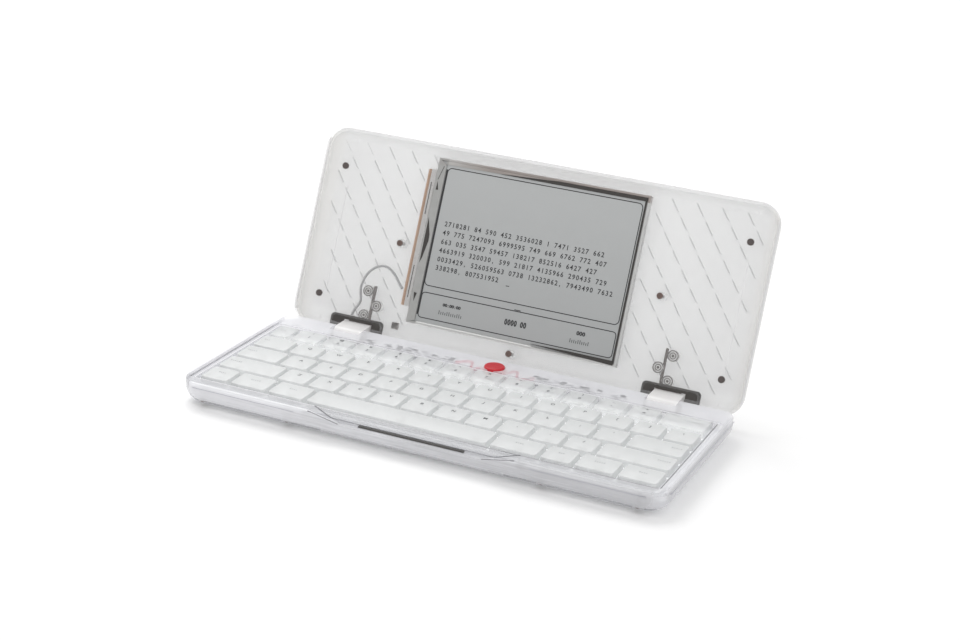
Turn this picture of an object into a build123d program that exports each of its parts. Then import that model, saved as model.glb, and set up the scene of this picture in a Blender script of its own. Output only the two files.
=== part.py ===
"""Electronic word processor: a clear clamshell with an e-paper screen and a full-width keyboard.

Frame: millimetres, +X to the right, +Y to the rear, +Z up.  The origin is on the table under the
middle of the base.  The machine is modelled open, with the lid leaning back by OPEN_ANGLE.

Lid pieces are drawn in the lid's own frame and put in place by in_lid(): x across, y along the lid
from the hinge axis to its free edge, z out of the lid towards the typist.
"""
from build123d import *
import os
from math import atan, cos, degrees, radians, sin, sqrt

os.makedirs("parts", exist_ok=True)

# ---------------------------------------------------------------- key layout, which sizes the machine
PITCH = 19.05
# widths in key units, left to right; rows run from the front of the base to its rear
ROW_WIDTHS = (
    (1, 1.25, 1.25, 5.75, 1.5, 1, 1.25, 1.25),
    (2,) + (1,) * 10 + (2.25,),
    (1.5,) + (1,) * 11 + (1.75,),
    (1.25,) + (1,) * 13,
    (0.75,) + (1,) * 12 + (1.5,),
)
# the node that each key belongs to; plain one-unit keys of a row share one node
ROW_NODES = (
    ("key_bottom_1", "key_bottom_2", "key_bottom_3", "space_bar",
     "key_bottom_5", "key_bottom_6", "key_bottom_7", "key_bottom_8"),
    ("key_shift_left",) + ("keys_lower_row",) * 10 + ("key_shift_right",),
    ("key_caps",) + ("keys_home_row",) * 11 + ("key_enter",),
    ("key_tab",) + ("keys_upper_row",) * 13,
    ("key_escape",) + ("keys_digit_row",) * 12 + ("key_backspace",),
)
UNITS_WIDE = sum(ROW_WIDTHS[0])
FIELD_WIDTH = UNITS_WIDE * PITCH
FIELD_DEPTH = len(ROW_WIDTHS) * PITCH

# ---------------------------------------------------------------- the machine as a whole
SIDE_MARGIN = 7.27            # key field to the side walls
FRONT_MARGIN = 9.7            # key field to the front wall
REAR_MARGIN = 22.45           # key field to the hinge spine
WIDTH = FIELD_WIDTH + 2 * SIDE_MARGIN
DEPTH = FRONT_MARGIN + FIELD_DEPTH + REAR_MARGIN
BASE_TOP = 14.0               # top of the base rim above the table
CLOSED_HEIGHT = 25.4          # table to the back of the shut lid
OPEN_ANGLE = 111.4            # lid opening in the modelled pose
FOOT_HEIGHT = 0.9             # feet under the bottom cover
WALL = 1.8                    # moulded side walls
PLAN_CORNER_R = 14.0          # base corners seen from above
BASE_EDGE_R = 8.6             # rounding from the walls to the underside
SEAM_HEIGHT = 11.4            # where the top deck meets the bottom cover
RIM_ROUND = 0.7               # broken edge of the rims
FIT = 0.1                     # sliding and seating clearance per side
PIECE_GAP = 0.4               # clearance between pieces that must not touch

# ---------------------------------------------------------------- hinge
SPINE_R = 4.4                 # rounded rear edge of the base, about the hinge axis
AXIS_Y = DEPTH / 2 - SPINE_R
AXIS_Z = 9.5
BARREL_R = 4.3
BARREL_LENGTH = 18.0
BARREL_X = WIDTH / 2 - 43.4    # middle of each barrel from the centre line
HINGE_SIDE_GAP = 0.4
PIN_R = 1.5
PIN_RUNNING_FIT = 0.06
CHEEK = 1.2                   # steel cheeks of the base bracket
CHEEK_R = 2.4
HINGE_MOUTH_Y = AXIS_Y - 7.0  # front edge of the deck cut-outs

# ---------------------------------------------------------------- lid
LID_INSET = 0.2               # lid sides inside the base sides
LID_WIDTH = WIDTH - 2 * LID_INSET
LID_START = 0.9               # lower edge, from the hinge axis
LID_END = DEPTH - SPINE_R      # free edge, flush with the base's front when shut
LID_CORNER_R = 13.0
LID_GAP = 0.2                 # base rim to lid rim when shut
LID_RIM = -(BASE_TOP + LID_GAP - AXIS_Z)
LID_BACK = -(CLOSED_HEIGHT - AXIS_Z)
BEZEL_RECESS = 1.95           # bezel face behind the lid rim
BEZEL = LID_RIM - BEZEL_RECESS
BEZEL_THICK = 1.4
BEZEL_UNDER = BEZEL - BEZEL_THICK
LID_SEAM = LID_RIM - 3.3      # where the back cover meets the bezel frame
LID_EDGE_R = 7.6              # rounding from the lid walls to its back
LID_SKIN = 1.8
LID_FLOOR = LID_BACK + LID_SKIN
RIM_FLAT = 2.0                # flat of the lid rim before it slopes to the bezel
RIM_SLOPE = 3.0

# ---------------------------------------------------------------- display
SCREEN_LEFT = -68.2
SCREEN_RIGHT = 65.4
SCREEN_LOW = 14.9
SCREEN_HIGH = 115.0
FRAME_BAR = 1.6               # metal edge round the panel
FRAME_DEPTH = 3.8
FRAME_SINK = 0.35             # frame face behind the bezel face
PANEL_SINK = 0.6              # panel face behind the frame face
PANEL_THICK = 1.2
TRAY_THICK = 1.4
BOARD_EDGE_X = -73.0          # copper edge of the driver board
DRIVER_LOW = 24.2
DRIVER_HIGH = 107.5
DRIVER_THICK = 0.8

# ---------------------------------------------------------------- keyboard
KEY_TOP = 14.5
KEY_FRONT_Y = FRONT_MARGIN - DEPTH / 2
KEY_REAR_Y = KEY_FRONT_Y + FIELD_DEPTH
KEY_HEIGHT = 3.8
KEY_SKIN = 1.1
KEY_WALL = 1.0
KEY_GAP_LOW = 1.5             # between neighbouring keys at their skirts
KEY_GAP_TOP = 2.6             # between neighbouring keys at their faces
KEY_CORNER_R = 2.0
KEY_EDGE_R = 0.45
KEY_TRAVEL = 2.0
WELL_GAP = 0.65               # key field to the deck opening
STEM_R = 2.3
STEM_LENGTH = 4.6             # from the key face down
GUIDE_R = 3.8
GUIDE_TOP = 11.2
PLATE_TOP = 8.0
PLATE_THICK = 0.8
SHEET_THICK = 0.4
DOME_HEIGHT = 0.6             # domes shown pressed flat
DOME_R = 2.2
STEM_HOLE_R = 2.8

FIELD_Y = KEY_FRONT_Y + FIELD_DEPTH / 2
STABILISED_UNITS = 2.0        # keys this wide get two more stems

# ---------------------------------------------------------------- deck and bottom cover
DECK_THICK = 1.6
DECK_UNDER = BASE_TOP - DECK_THICK
DECK_SKIRT = 3.0              # thickness of the deck's own edge
SILL = 3.0                    # lowered ledge round the key opening
SILL_DROP = 0.6
WELL_LIP = 1.2                # lip that hangs from the deck round the keys
FLOOR = 1.6
FLOOR_TOP = FOOT_HEIGHT + FLOOR
LEDGE_MARGIN = 1.67           # key field to the ledge that the plate rests on
LEDGE_HALF_WIDTH = FIELD_WIDTH / 2 + LEDGE_MARGIN
LEDGE_REAR_Y = KEY_REAR_Y + 0.95
LEDGE_FRONT_Y = KEY_FRONT_Y - 1.4
LEDGE_BAR = 1.2
BOSS_R = 2.7
BOSS_SPLIT = 6.0              # deck posts stand on the cover's bosses here
SCREW_R = 1.0
SCREW_HEAD_R = 2.0
SCREW_HEAD = 1.3
SCREW_REACH = 10.4
FOOT_R = 5.0
FOOT_INSET = (25.0, 21.7)     # feet from the sides and from the front and rear
FOOT_SPOTS = tuple((x * (WIDTH / 2 - FOOT_INSET[0]), y * (DEPTH / 2 - FOOT_INSET[1]))
                   for x in (1, -1) for y in (1, -1))

# ---------------------------------------------------------------- finger scoop
SCOOP_TOP_HALF = 61.0
SCOOP_FLOOR_HALF = 42.0
SCOOP_FLOOR = 10.2
SCOOP_REAR_Y = KEY_FRONT_Y - 1.3
SCOOP_STEP_Y = 3.7 - DEPTH / 2
SCOOP_BLOCK_HALF = SCOOP_TOP_HALF - 7.0
SCOOP_BLOCK_REAR_Y = 6.3 - DEPTH / 2
STRIP_HALF = 31.0
STRIP_DEPTH = 1.2
STRIP_HEIGHT = 1.0
BOSS_PLACES = ((WIDTH / 2 - 12.0, DEPTH / 2 - 13.8), (WIDTH / 2 - 15.0, 5.0 - DEPTH / 2),
               (SCOOP_TOP_HALF + 14.0, 5.0 - DEPTH / 2))
BOSS_SPOTS = tuple((side * x, y) for side in (1, -1) for x, y in BOSS_PLACES)

# ---------------------------------------------------------------- power button
BUTTON_Y = KEY_REAR_Y + 7.95
BUTTON_R = 6.0
BUTTON_PROUD = 0.9
BUTTON_TRAVEL = 0.5
BUTTON_FLANGE_R = 7.2
BUTTON_FLANGE = 1.0
BUTTON_STEM_R = 1.5
ARM_WIDTH = 1.6
ARM_THICK = 1.0
ARM_SWING = 4.6               # half height of the wave in each spring arm
ARM_BEND_R = 1.2

# ---------------------------------------------------------------- electronics
BOARD_THICK = 1.0
BOARD_TOP = 7.0
BOARD_HALF = 84.0
BOARD_FRONT_Y = LEDGE_REAR_Y + LEDGE_BAR + 1.6
BOARD_REAR_Y = AXIS_Y - SPINE_R - 0.3
SWITCH_SIZE = 4.5
CHIP_HEIGHT = 1.2
# components as (x, distance in front of or behind the button's middle, side)
CHIPS = ((-78, -0.2, 5), (-63, 1.3, 4), (-61, -2, 2.5), (-51.5, 0.8, 4.5), (-40, 0.3, 5.5), (-28, 0.8, 4),
         (27, 0.3, 4.5), (35.5, 0.8, 5), (48, 0.6, 4.5), (59.7, 0.8, 6), (66, -1.7, 2.5), (78, 0.3, 4))
BATTERY = (112.0, 62.0, 3.4)
BATTERY_Y = -10.0
USB_Y = 34.0
USB_Z = 5.2
USB_WIDTH = 8.9
USB_HEIGHT = 3.2
USB_DEPTH = 7.3
USB_RECESS = 0.5
CATCH_SPOTS = (-SCOOP_TOP_HALF - 2.3, SCOOP_TOP_HALF + 2.3)
CATCH = (4.0, 3.0, 2.4)       # front catch magnets

# ---------------------------------------------------------------- lid furniture
BUMPER_R = 2.0
BUMPER_PROUD = 0.9
BUMPER_STEM_R = 1.2
BUMPER_X = LID_WIDTH / 2 - 14.8
BUMPER_SPOTS = tuple((x, y) for x in (BUMPER_X, -BUMPER_X) for y in (LID_END - 23.3, 20.9))
LID_SCREW_X = LID_WIDTH / 2 - 60.2
LID_SCREW_SPOTS = ((-LID_SCREW_X, 60.1), (LID_SCREW_X, 60.1), (0.0, 9.2))
LID_SCREW_R = 1.0
LID_SCREW_HEAD_R = 1.8
LID_SCREW_HEAD = 0.8
LID_BOSS_R = 2.6
TRAY_POST_X = (-50.0, 0.0, 50.0)
TRAY_POST_Y = (30.0, 100.0)
MAGNET_SPOT = (-75.4, 11.0)
MAGNET_SIZE = 4.0
MAGNET_THICK = 2.0
SLOT_X = BARREL_X + 0.7        # middle of each hinge slot in the bezel
SLOT_WIDTH = 32.8
SLOT_LOW = 5.2
SLOT_HIGH = 10.2
SLOT_CORNER_R = 2.6
LINER_MARGIN = 1.2
LINER_THICK = 0.95
ARM_END = BEZEL_UNDER - LINER_THICK
BRACKET_X = BARREL_X - 6.6     # upright flange of the lid bracket
BRACKET_HIGH = 31.8
BRACKET_FLANGE = 1.3
BRACKET_THICK = 1.0
EAR_R = 3.3
EAR_SPOTS = ((BRACKET_X + 4.1, 28.2), (BRACKET_X - 3.1, 20.1), (BRACKET_X + 3.9, 13.4))
EAR_SCREW_HEAD = 0.6

# ---------------------------------------------------------------- dashed ribs inside the back cover
RIB_PITCH_X = 15.1
RIB_PITCH_Y = 9.75
RIB_SLOPE = 1.337             # fall per unit across
RIB_DASH = 7.1                # height of one dash along the lid
RIB_WIDTH = 0.55
RIB_HEIGHT = 0.6
RIB_PHASE_X = 75.8
RIB_PHASE_Y = 116.4
RIB_CLEAR = 8.5               # ribs stop this far inside the walls
RAIL_X = BUMPER_X - 0.6        # fine upright ribs near each end of the lid
RAIL_HEIGHT = 0.5
RAIL_LOW = 24.5
RAIL_HIGH = 88.0

# ---------------------------------------------------------------- display lead
LEAD_R = 0.85
LEAD_DEPTH = BEZEL_UNDER - 1.35
# route as (distance outward from the left barrel's middle, distance from the hinge axis)
LEAD_ROUTE = ((5.3, 11.7), (5.0, 14.6), (2.4, 18.6), (1.3, 22.0), (3.0, 26.4), (3.4, 31.4),
              (1.0, 38.6), (-4.2, 43.6), (-10.4, 45.2), (-16.2, 42.0), (-20.2, 37.4), (-23.6, 33.6))


# ================================================================ helpers
def both_sides(piece):
    """The piece and its mirror image on the other side of the machine."""
    return piece, mirror(piece, about=Plane.YZ)


def in_lid(piece):
    """Put a piece drawn in the lid's frame where the open lid holds it."""
    return Pos(0, AXIS_Y, AXIS_Z) * Rot(180 - OPEN_ANGLE, 0, 0) * piece


def box_between(low, high):
    """A box from its lowest to its highest corner."""
    size = [b - a for a, b in zip(low, high)]
    return Pos(*low) * Box(*size, align=(Align.MIN, Align.MIN, Align.MIN))


def rod(x, y, low, high, radius):
    """An upright cylinder."""
    return Pos(x, y, low) * Cylinder(radius, high - low, align=(Align.CENTER, Align.CENTER, Align.MIN))


def cross_rod(x_low, x_high, y, z, radius):
    """A cylinder that lies along X."""
    middle = Pos((x_low + x_high) / 2, y, z) * Rot(0, 90, 0)
    return middle * Cylinder(radius, x_high - x_low)


def side_prism(points, x_low, x_high):
    """A prism along X from points given as (y, z)."""
    outline = Plane.YZ.offset(x_low) * make_face(Polyline(*points, close=True))
    return extrude(outline, x_high - x_low)


def rounded_block(width, depth, corner, low, high, y=0.0):
    """A block with rounded upright corners, centred on x = 0."""
    return extrude(Pos(0, y, low) * RectangleRounded(width, depth, corner), high - low)


def joined(first, pieces):
    """The first piece fused with the others."""
    for piece in pieces:
        first = first + piece
    return first


# ================================================================ keyboard
def key_places():
    """Every key as (node, units wide, x, y)."""
    places = []
    for row, (widths, nodes) in enumerate(zip(ROW_WIDTHS, ROW_NODES)):
        left = -FIELD_WIDTH / 2
        y = KEY_FRONT_Y + (row + 0.5) * PITCH
        for units, node in zip(widths, nodes):
            places.append((node, units, left + units * PITCH / 2, y))
            left += units * PITCH
    return places


def stem_offsets(units):
    """Where a key of this width carries its stems."""
    if units < STABILISED_UNITS:
        return (0.0,)
    outer = (units - 1) * PITCH / 2
    return (-outer, 0.0, outer)


def stem_spots():
    """The plan position of every stem."""
    return [(x + offset, y) for _, units, x, y in key_places() for offset in stem_offsets(units)]


def key_cap(units):
    """One hollow key cap with its stems, its face at z = 0."""
    def outline(gap, inset, z):
        size = (units * PITCH - gap - 2 * inset, PITCH - gap - 2 * inset)
        return Pos(0, 0, z) * RectangleRounded(*size, KEY_CORNER_R - inset)

    cap = loft([outline(KEY_GAP_LOW, 0, -KEY_HEIGHT), outline(KEY_GAP_TOP, 0, 0)])
    cap = fillet(cap.faces().sort_by(Axis.Z)[-1].edges(), KEY_EDGE_R)
    hollow = loft([outline(KEY_GAP_LOW, KEY_WALL, -KEY_HEIGHT), outline(KEY_GAP_TOP, KEY_WALL, -KEY_SKIN)])
    stems = [rod(x, 0, -STEM_LENGTH, -KEY_SKIN, STEM_R) for x in stem_offsets(units)]
    return joined(cap - hollow, stems)


def keys():
    """Every key cap, gathered by node."""
    caps = {}
    nodes = {}
    for node, units, x, y in key_places():
        if units not in caps:
            caps[units] = key_cap(units)
        nodes.setdefault(node, []).append(Pos(x, y, KEY_TOP) * caps[units])
    return nodes


def drilled(piece, spots, low, high, radius):
    """The piece with an upright hole at each spot."""
    return piece - [rod(x, y, low, high, radius) for x, y in spots]


def keyboard_plate():
    """The pressed steel plate that carries the key guides."""
    half, rear = WIDTH / 2, LEDGE_REAR_Y + LEDGE_BAR
    low = PLATE_TOP - PLATE_THICK
    plate = box_between((-half, LEDGE_FRONT_Y, low), (half, rear, PLATE_TOP))
    plate &= base_block(WALL + FIT, low, PLATE_TOP)
    return drilled(plate, stem_spots(), low, PLATE_TOP, STEM_HOLE_R)


def dome_sheet():
    """The silicone sheet under the plate, with one dome below each stem."""
    top = PLATE_TOP - PLATE_THICK
    front = KEY_FRONT_Y
    sheet = box_between((-FIELD_WIDTH / 2, front, top - SHEET_THICK),
                        (FIELD_WIDTH / 2, front + FIELD_DEPTH, top))
    return joined(sheet, [rod(x, y, top, top + DOME_HEIGHT, DOME_R) for x, y in stem_spots()])


def key_guides():
    """The guide ring that each key stem slides in."""
    ring = rod(0, 0, PLATE_TOP, GUIDE_TOP, GUIDE_R) - rod(0, 0, PLATE_TOP, GUIDE_TOP, STEM_R + FIT)
    return [Pos(x, y, 0) * ring for x, y in stem_spots()]


# ================================================================ base shells
def base_block(inset, low, high, edge=0.0):
    """The base's outline drawn in by inset, from low to high, with its lower edge rounded."""
    block = rounded_block(WIDTH - 2 * inset, DEPTH - 2 * inset, PLAN_CORNER_R - inset, low, high)
    if edge:
        block = fillet(block.faces().sort_by(Axis.Z)[0].edges(), edge)
    return block


def behind_spine():
    """What is cut away above and behind the rounded rear edge."""
    far = WIDTH / 2 + 1
    corner = box_between((-far, AXIS_Y, AXIS_Z), (far, DEPTH / 2 + 1, BASE_TOP + 1))
    return corner - cross_rod(-far, far, AXIS_Y, AXIS_Z, SPINE_R)


def hinge_openings():
    """Room for each hinge barrel and for its arm to swing over the deck."""
    half = BARREL_LENGTH / 2 + HINGE_SIDE_GAP
    low, high = BARREL_X - half, BARREL_X + half
    mouth = box_between((low, HINGE_MOUTH_Y, AXIS_Z), (high, DEPTH / 2 + 1, BASE_TOP + 1))
    round_part = cross_rod(low, high, AXIS_Y, AXIS_Z, BARREL_R + PIECE_GAP)
    return both_sides(mouth + round_part)


def finger_scoop():
    """The notch in the front edge that lets a finger under the shut lid."""
    front = -DEPTH / 2 - 1
    slope = (SCOOP_REAR_Y - SCOOP_STEP_Y, BASE_TOP - SEAM_HEIGHT)
    over = (SCOOP_REAR_Y + slope[0] / slope[1], BASE_TOP + 1)
    profile = [over, (SCOOP_REAR_Y, BASE_TOP), (SCOOP_STEP_Y, SEAM_HEIGHT), (SCOOP_STEP_Y, SCOOP_FLOOR),
               (front, SCOOP_FLOOR), (front, BASE_TOP + 1)]
    notch = side_prism(profile, -SCOOP_TOP_HALF - 5, SCOOP_TOP_HALF + 5)
    lean = (SCOOP_TOP_HALF - SCOOP_FLOOR_HALF) / (BASE_TOP - SCOOP_FLOOR)
    over_half = SCOOP_TOP_HALF + lean
    trapeze = Polyline((-SCOOP_FLOOR_HALF, SCOOP_FLOOR), (SCOOP_FLOOR_HALF, SCOOP_FLOOR),
                       (over_half, BASE_TOP + 1), (-over_half, BASE_TOP + 1), close=True)
    ends = extrude(Plane.XZ.offset(-SCOOP_REAR_Y - 10) * make_face(trapeze), DEPTH / 2)
    return notch & ends


def top_deck():
    """The clear upper shell round the keys."""
    deck = base_block(0, SEAM_HEIGHT, BASE_TOP)
    deck = fillet(deck.faces().sort_by(Axis.Z)[-1].edges(), RIM_ROUND)
    pocket_depth = DEPTH / 2 - DECK_SKIRT - SCOOP_BLOCK_REAR_Y
    pocket_y = SCOOP_BLOCK_REAR_Y + pocket_depth / 2
    deck -= rounded_block(WIDTH - 2 * DECK_SKIRT, pocket_depth, PLAN_CORNER_R - DECK_SKIRT,
                          SEAM_HEIGHT, DECK_UNDER, pocket_y)
    well = (FIELD_WIDTH + 2 * WELL_GAP, FIELD_DEPTH + 2 * WELL_GAP)
    lip_size = [side + 2 * WELL_LIP for side in well]
    deck += rounded_block(*lip_size, KEY_CORNER_R + WELL_LIP, PLATE_TOP, DECK_UNDER, FIELD_Y)
    sill = (well[0] + 2 * SILL, well[1] + 2 * WELL_LIP)
    deck -= rounded_block(*sill, KEY_CORNER_R, BASE_TOP - SILL_DROP, BASE_TOP, FIELD_Y)
    deck = joined(deck, [rod(x, y, BOSS_SPLIT, DECK_UNDER, BOSS_R) for x, y in BOSS_SPOTS])
    deck -= rounded_block(*well, KEY_CORNER_R, PLATE_TOP, BASE_TOP, FIELD_Y)
    deck = drilled(deck, BOSS_SPOTS, BOSS_SPLIT, SCREW_REACH, SCREW_R)
    deck -= rod(0, BUTTON_Y, DECK_UNDER, BASE_TOP, BUTTON_R + PIECE_GAP)
    deck -= rod(0, BUTTON_Y, PLATE_TOP, DECK_UNDER, BUTTON_FLANGE_R + PIECE_GAP)
    deck -= behind_spine()
    deck -= finger_scoop()
    for opening in hinge_openings():
        deck -= opening
    return deck


def cover_cavity():
    """The hollow of the bottom cover: wide above the plate's ledge, narrower below it."""
    ledge = PLATE_TOP - PLATE_THICK
    above = base_block(WALL, ledge, SEAM_HEIGHT)
    below = base_block(WALL, FLOOR_TOP, ledge)
    width = 2 * LEDGE_HALF_WIDTH
    trough = rounded_block(width, DEPTH, WALL, FLOOR_TOP, ledge)
    below &= fillet(trough.faces().sort_by(Axis.Z)[0].edges(), WALL)
    return above + below


def cover_bosses():
    """Bosses, plate rails and board posts that rise from the floor of the bottom cover."""
    ledge = PLATE_TOP - PLATE_THICK
    pieces = [rod(x, y, FLOOR_TOP, BOSS_SPLIT, BOSS_R + 0.8) for x, y in BOSS_SPOTS]
    for y in (LEDGE_FRONT_Y, LEDGE_REAR_Y):
        rail = Box(2 * LEDGE_HALF_WIDTH, LEDGE_BAR, ledge - FLOOR_TOP,
                   align=(Align.CENTER, Align.MIN, Align.MIN))
        pieces.append(Pos(0, y, FLOOR_TOP) * rail)
    for x in (-BOARD_HALF + 6, -20, 20, BOARD_HALF - 6):
        pieces.append(rod(x, (BOARD_FRONT_Y + BOARD_REAR_Y) / 2, FLOOR_TOP, BOARD_TOP - BOARD_THICK, 2.0))
    return pieces


def bottom_cover():
    """The clear tub of the base."""
    cover = base_block(0, FOOT_HEIGHT, SEAM_HEIGHT, BASE_EDGE_R)
    hull = cover
    cover -= cover_cavity()
    half = SCOOP_BLOCK_HALF
    block = box_between((-half, -DEPTH / 2, FLOOR_TOP), (half, SCOOP_BLOCK_REAR_Y, SEAM_HEIGHT))
    cover += block & hull
    cover = joined(cover, [piece & hull for piece in cover_bosses()])
    cover = drilled(cover, BOSS_SPOTS, FOOT_HEIGHT, BOSS_SPLIT, SCREW_R + FIT)
    cover = drilled(cover, BOSS_SPOTS, FOOT_HEIGHT, FOOT_HEIGHT + SCREW_HEAD + WALL, SCREW_HEAD_R + FIT)
    cover = drilled(cover, FOOT_SPOTS, FOOT_HEIGHT, FOOT_HEIGHT + FLOOR / 2, FOOT_R)
    cover -= behind_spine()
    cover -= finger_scoop()
    for opening in hinge_openings():
        cover -= opening
    cover -= Pos(-WIDTH / 2, USB_Y, USB_Z) * usb_outline(FIT, 2 * USB_DEPTH + 4)
    return cover


def usb_outline(clearance, length):
    """The oval body of the charging socket, lying along X."""
    oval = SlotOverall(USB_WIDTH + 2 * clearance, USB_HEIGHT + 2 * clearance)
    return extrude(Plane.YZ.offset(-length / 2) * oval, length)


def base_screws():
    """Screws from below that hold the deck to the bottom cover."""
    head_low = FOOT_HEIGHT + WALL
    screws = []
    for x, y in BOSS_SPOTS:
        head = rod(x, y, head_low, head_low + SCREW_HEAD, SCREW_HEAD_R)
        socket = rod(x, y, head_low, head_low + SCREW_HEAD / 2, SCREW_R)
        screws.append(head + rod(x, y, head_low + SCREW_HEAD, SCREW_REACH, SCREW_R) - socket)
    return screws


def rubber_feet():
    """Four round feet let into the underside."""
    return [rod(x, y, 0, FOOT_HEIGHT + FLOOR / 2, FOOT_R - FIT / 2) for x, y in FOOT_SPOTS]


# ================================================================ base internals
def main_board():
    """The narrow circuit board behind the keys."""
    return box_between((-BOARD_HALF, BOARD_FRONT_Y, BOARD_TOP - BOARD_THICK),
                       (BOARD_HALF, BOARD_REAR_Y, BOARD_TOP))


def board_chips():
    """Components on the main board."""
    resting = (Align.CENTER, Align.CENTER, Align.MIN)
    return [Pos(x, BUTTON_Y + y, BOARD_TOP) * Box(size, size, CHIP_HEIGHT, align=resting)
            for x, y, size in CHIPS]


def power_switch():
    """The tact switch under the power button."""
    body_top = BOARD_TOP + CHIP_HEIGHT
    half = SWITCH_SIZE / 2
    body = box_between((-half, BUTTON_Y - half, BOARD_TOP), (half, BUTTON_Y + half, body_top))
    return body + rod(0, BUTTON_Y, body_top, body_top + PIECE_GAP, BUTTON_STEM_R)


def power_button():
    """The round button with its retaining flange and stem."""
    switch_top = BOARD_TOP + CHIP_HEIGHT + PIECE_GAP
    flange_top = DECK_UNDER - FIT
    cap = rod(0, BUTTON_Y, flange_top - BUTTON_FLANGE, BASE_TOP + BUTTON_PROUD, BUTTON_R)
    cap = fillet(cap.faces().sort_by(Axis.Z)[-1].edges(), RIM_ROUND)
    flange = rod(0, BUTTON_Y, flange_top - BUTTON_FLANGE, flange_top, BUTTON_FLANGE_R)
    stem = rod(0, BUTTON_Y, switch_top + BUTTON_TRAVEL + FIT, flange_top, BUTTON_STEM_R)
    return cap + flange + stem


def button_springs():
    """Wavy moulded arms that reach from anchors under the deck to the button."""
    top = DECK_UNDER
    near, far = BUTTON_FLANGE_R + 3 * PIECE_GAP, 23.4
    arms = []
    for side in (-1, 1):
        swing = side * ARM_SWING
        points = [(side * near, 0), (side * (near + 2.0), swing), (side * (near + 4.4), swing),
                  (side * (near + 7.4), -swing), (side * (near + 10.2), -swing), (side * far, 0)]
        path = FilletPolyline(*points, radius=ARM_BEND_R)
        strip = Pos(0, BUTTON_Y, top - ARM_THICK) * trace(path, ARM_WIDTH)
        pad = rod(side * far, BUTTON_Y, top - ARM_THICK, top, ARM_WIDTH)
        arms.append(extrude(strip, ARM_THICK) + pad)
    return arms


def battery():
    """The flat cell under the key plate."""
    length, depth, height = BATTERY
    cell = Box(length, depth, height, align=(Align.CENTER, Align.CENTER, Align.MIN))
    return Pos(0, BATTERY_Y, FLOOR_TOP) * cell


def usb_board():
    """The small board that carries the charging socket."""
    low = FLOOR_TOP + 0.1
    edge = -LEDGE_HALF_WIDTH + WALL + FIT
    return box_between((edge, USB_Y - 8, low), (edge + 22, USB_Y + 8, USB_Z - USB_HEIGHT / 2))


def usb_c_socket():
    """The charging inlet in the left wall: a hollow steel shell with its tongue."""
    start = -WIDTH / 2 + USB_RECESS + 1.0
    ring = usb_outline(0, USB_DEPTH) - usb_outline(-0.35, USB_DEPTH)
    shell = Pos(start + USB_DEPTH / 2, USB_Y, USB_Z) * ring
    back = Pos(start + USB_DEPTH - 0.5, USB_Y, USB_Z) * usb_outline(-0.35, 1.0)
    tongue = Pos(start + USB_DEPTH / 2 + 0.5, USB_Y, USB_Z) * Box(USB_DEPTH - 1.0, USB_WIDTH - 2.4, 0.7)
    return shell + back + tongue


def catch_magnets():
    """Magnets in the front edge that hold the lid shut."""
    length, depth, height = CATCH
    y = -DEPTH / 2 + WALL + depth / 2
    magnet = Box(length, depth, height, align=(Align.CENTER, Align.CENTER, Align.MAX))
    return [Pos(x, y, SEAM_HEIGHT) * magnet for x in CATCH_SPOTS]


def catch_strip():
    """The dark steel strip at the foot of the finger scoop."""
    return box_between((-STRIP_HALF, SCOOP_STEP_Y - STRIP_DEPTH, SCOOP_FLOOR),
                       (STRIP_HALF, SCOOP_STEP_Y, SCOOP_FLOOR + STRIP_HEIGHT))


# ================================================================ hinges
def hinge_base_bracket():
    """The right-hand steel bracket: a foot and two cheeks that hold the pin."""
    half = BARREL_LENGTH / 2 + HINGE_SIDE_GAP
    foot_front, foot_rear = AXIS_Y - 11.0, AXIS_Y - 4.6
    foot = box_between((BARREL_X - half - CHEEK, foot_front, FLOOR_TOP),
                       (BARREL_X + half + CHEEK, foot_rear, FLOOR_TOP + CHEEK))
    cheeks = []
    for low in (BARREL_X - half - CHEEK, BARREL_X + half):
        lower = (AXIS_Y + CHEEK_R * 0.8, AXIS_Z - CHEEK_R * 0.6)
        upper = (AXIS_Y - CHEEK_R * 0.6, AXIS_Z + CHEEK_R * 0.8)
        outline = [(foot_front, FLOOR_TOP), (foot_rear, FLOOR_TOP), lower, (AXIS_Y, AXIS_Z), upper]
        web = side_prism(outline, low, low + CHEEK)
        cheek = web + cross_rod(low, low + CHEEK, AXIS_Y, AXIS_Z, CHEEK_R)
        cheeks.append(cheek - cross_rod(low, low + CHEEK, AXIS_Y, AXIS_Z, PIN_R))
    return joined(foot, cheeks)


def hinge_pins():
    """The pin of each hinge, fixed in the cheeks."""
    half = BARREL_LENGTH / 2 + HINGE_SIDE_GAP + CHEEK
    return both_sides(cross_rod(BARREL_X - half, BARREL_X + half, AXIS_Y, AXIS_Z, PIN_R))


def depth_point(depth, height):
    """The (y, z) of the open lid's plane at this depth, at a height above the hinge axis."""
    lean = radians(OPEN_ANGLE - 90)
    return AXIS_Y + (-depth + height * sin(lean)) / cos(lean), AXIS_Z + height


def hinge_arm():
    """The right-hand barrel with the arm that carries the lid."""
    low, high = BARREL_X - BARREL_LENGTH / 2, BARREL_X + BARREL_LENGTH / 2
    under = -0.4
    outline = [(AXIS_Y, AXIS_Z + BARREL_R), depth_point(ARM_END, BARREL_R), depth_point(ARM_END, under),
               (AXIS_Y, AXIS_Z + under)]
    arm = side_prism(outline, low, high)
    arm += cross_rod(low, high, AXIS_Y, AXIS_Z, BARREL_R)
    return arm - cross_rod(low, high, AXIS_Y, AXIS_Z, PIN_R + PIN_RUNNING_FIT)


def arm_passage(low, high):
    """The clear way for the hinge arm through the bezel and its liner, in the lid's frame."""
    half = BARREL_LENGTH / 2 + HINGE_SIDE_GAP
    lean = radians(OPEN_ANGLE - 90)
    top = (BARREL_R - ARM_END * sin(lean)) / cos(lean) + PIECE_GAP
    return box_between((BARREL_X - half, LID_START - 1, low), (BARREL_X + half, top, high))


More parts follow.
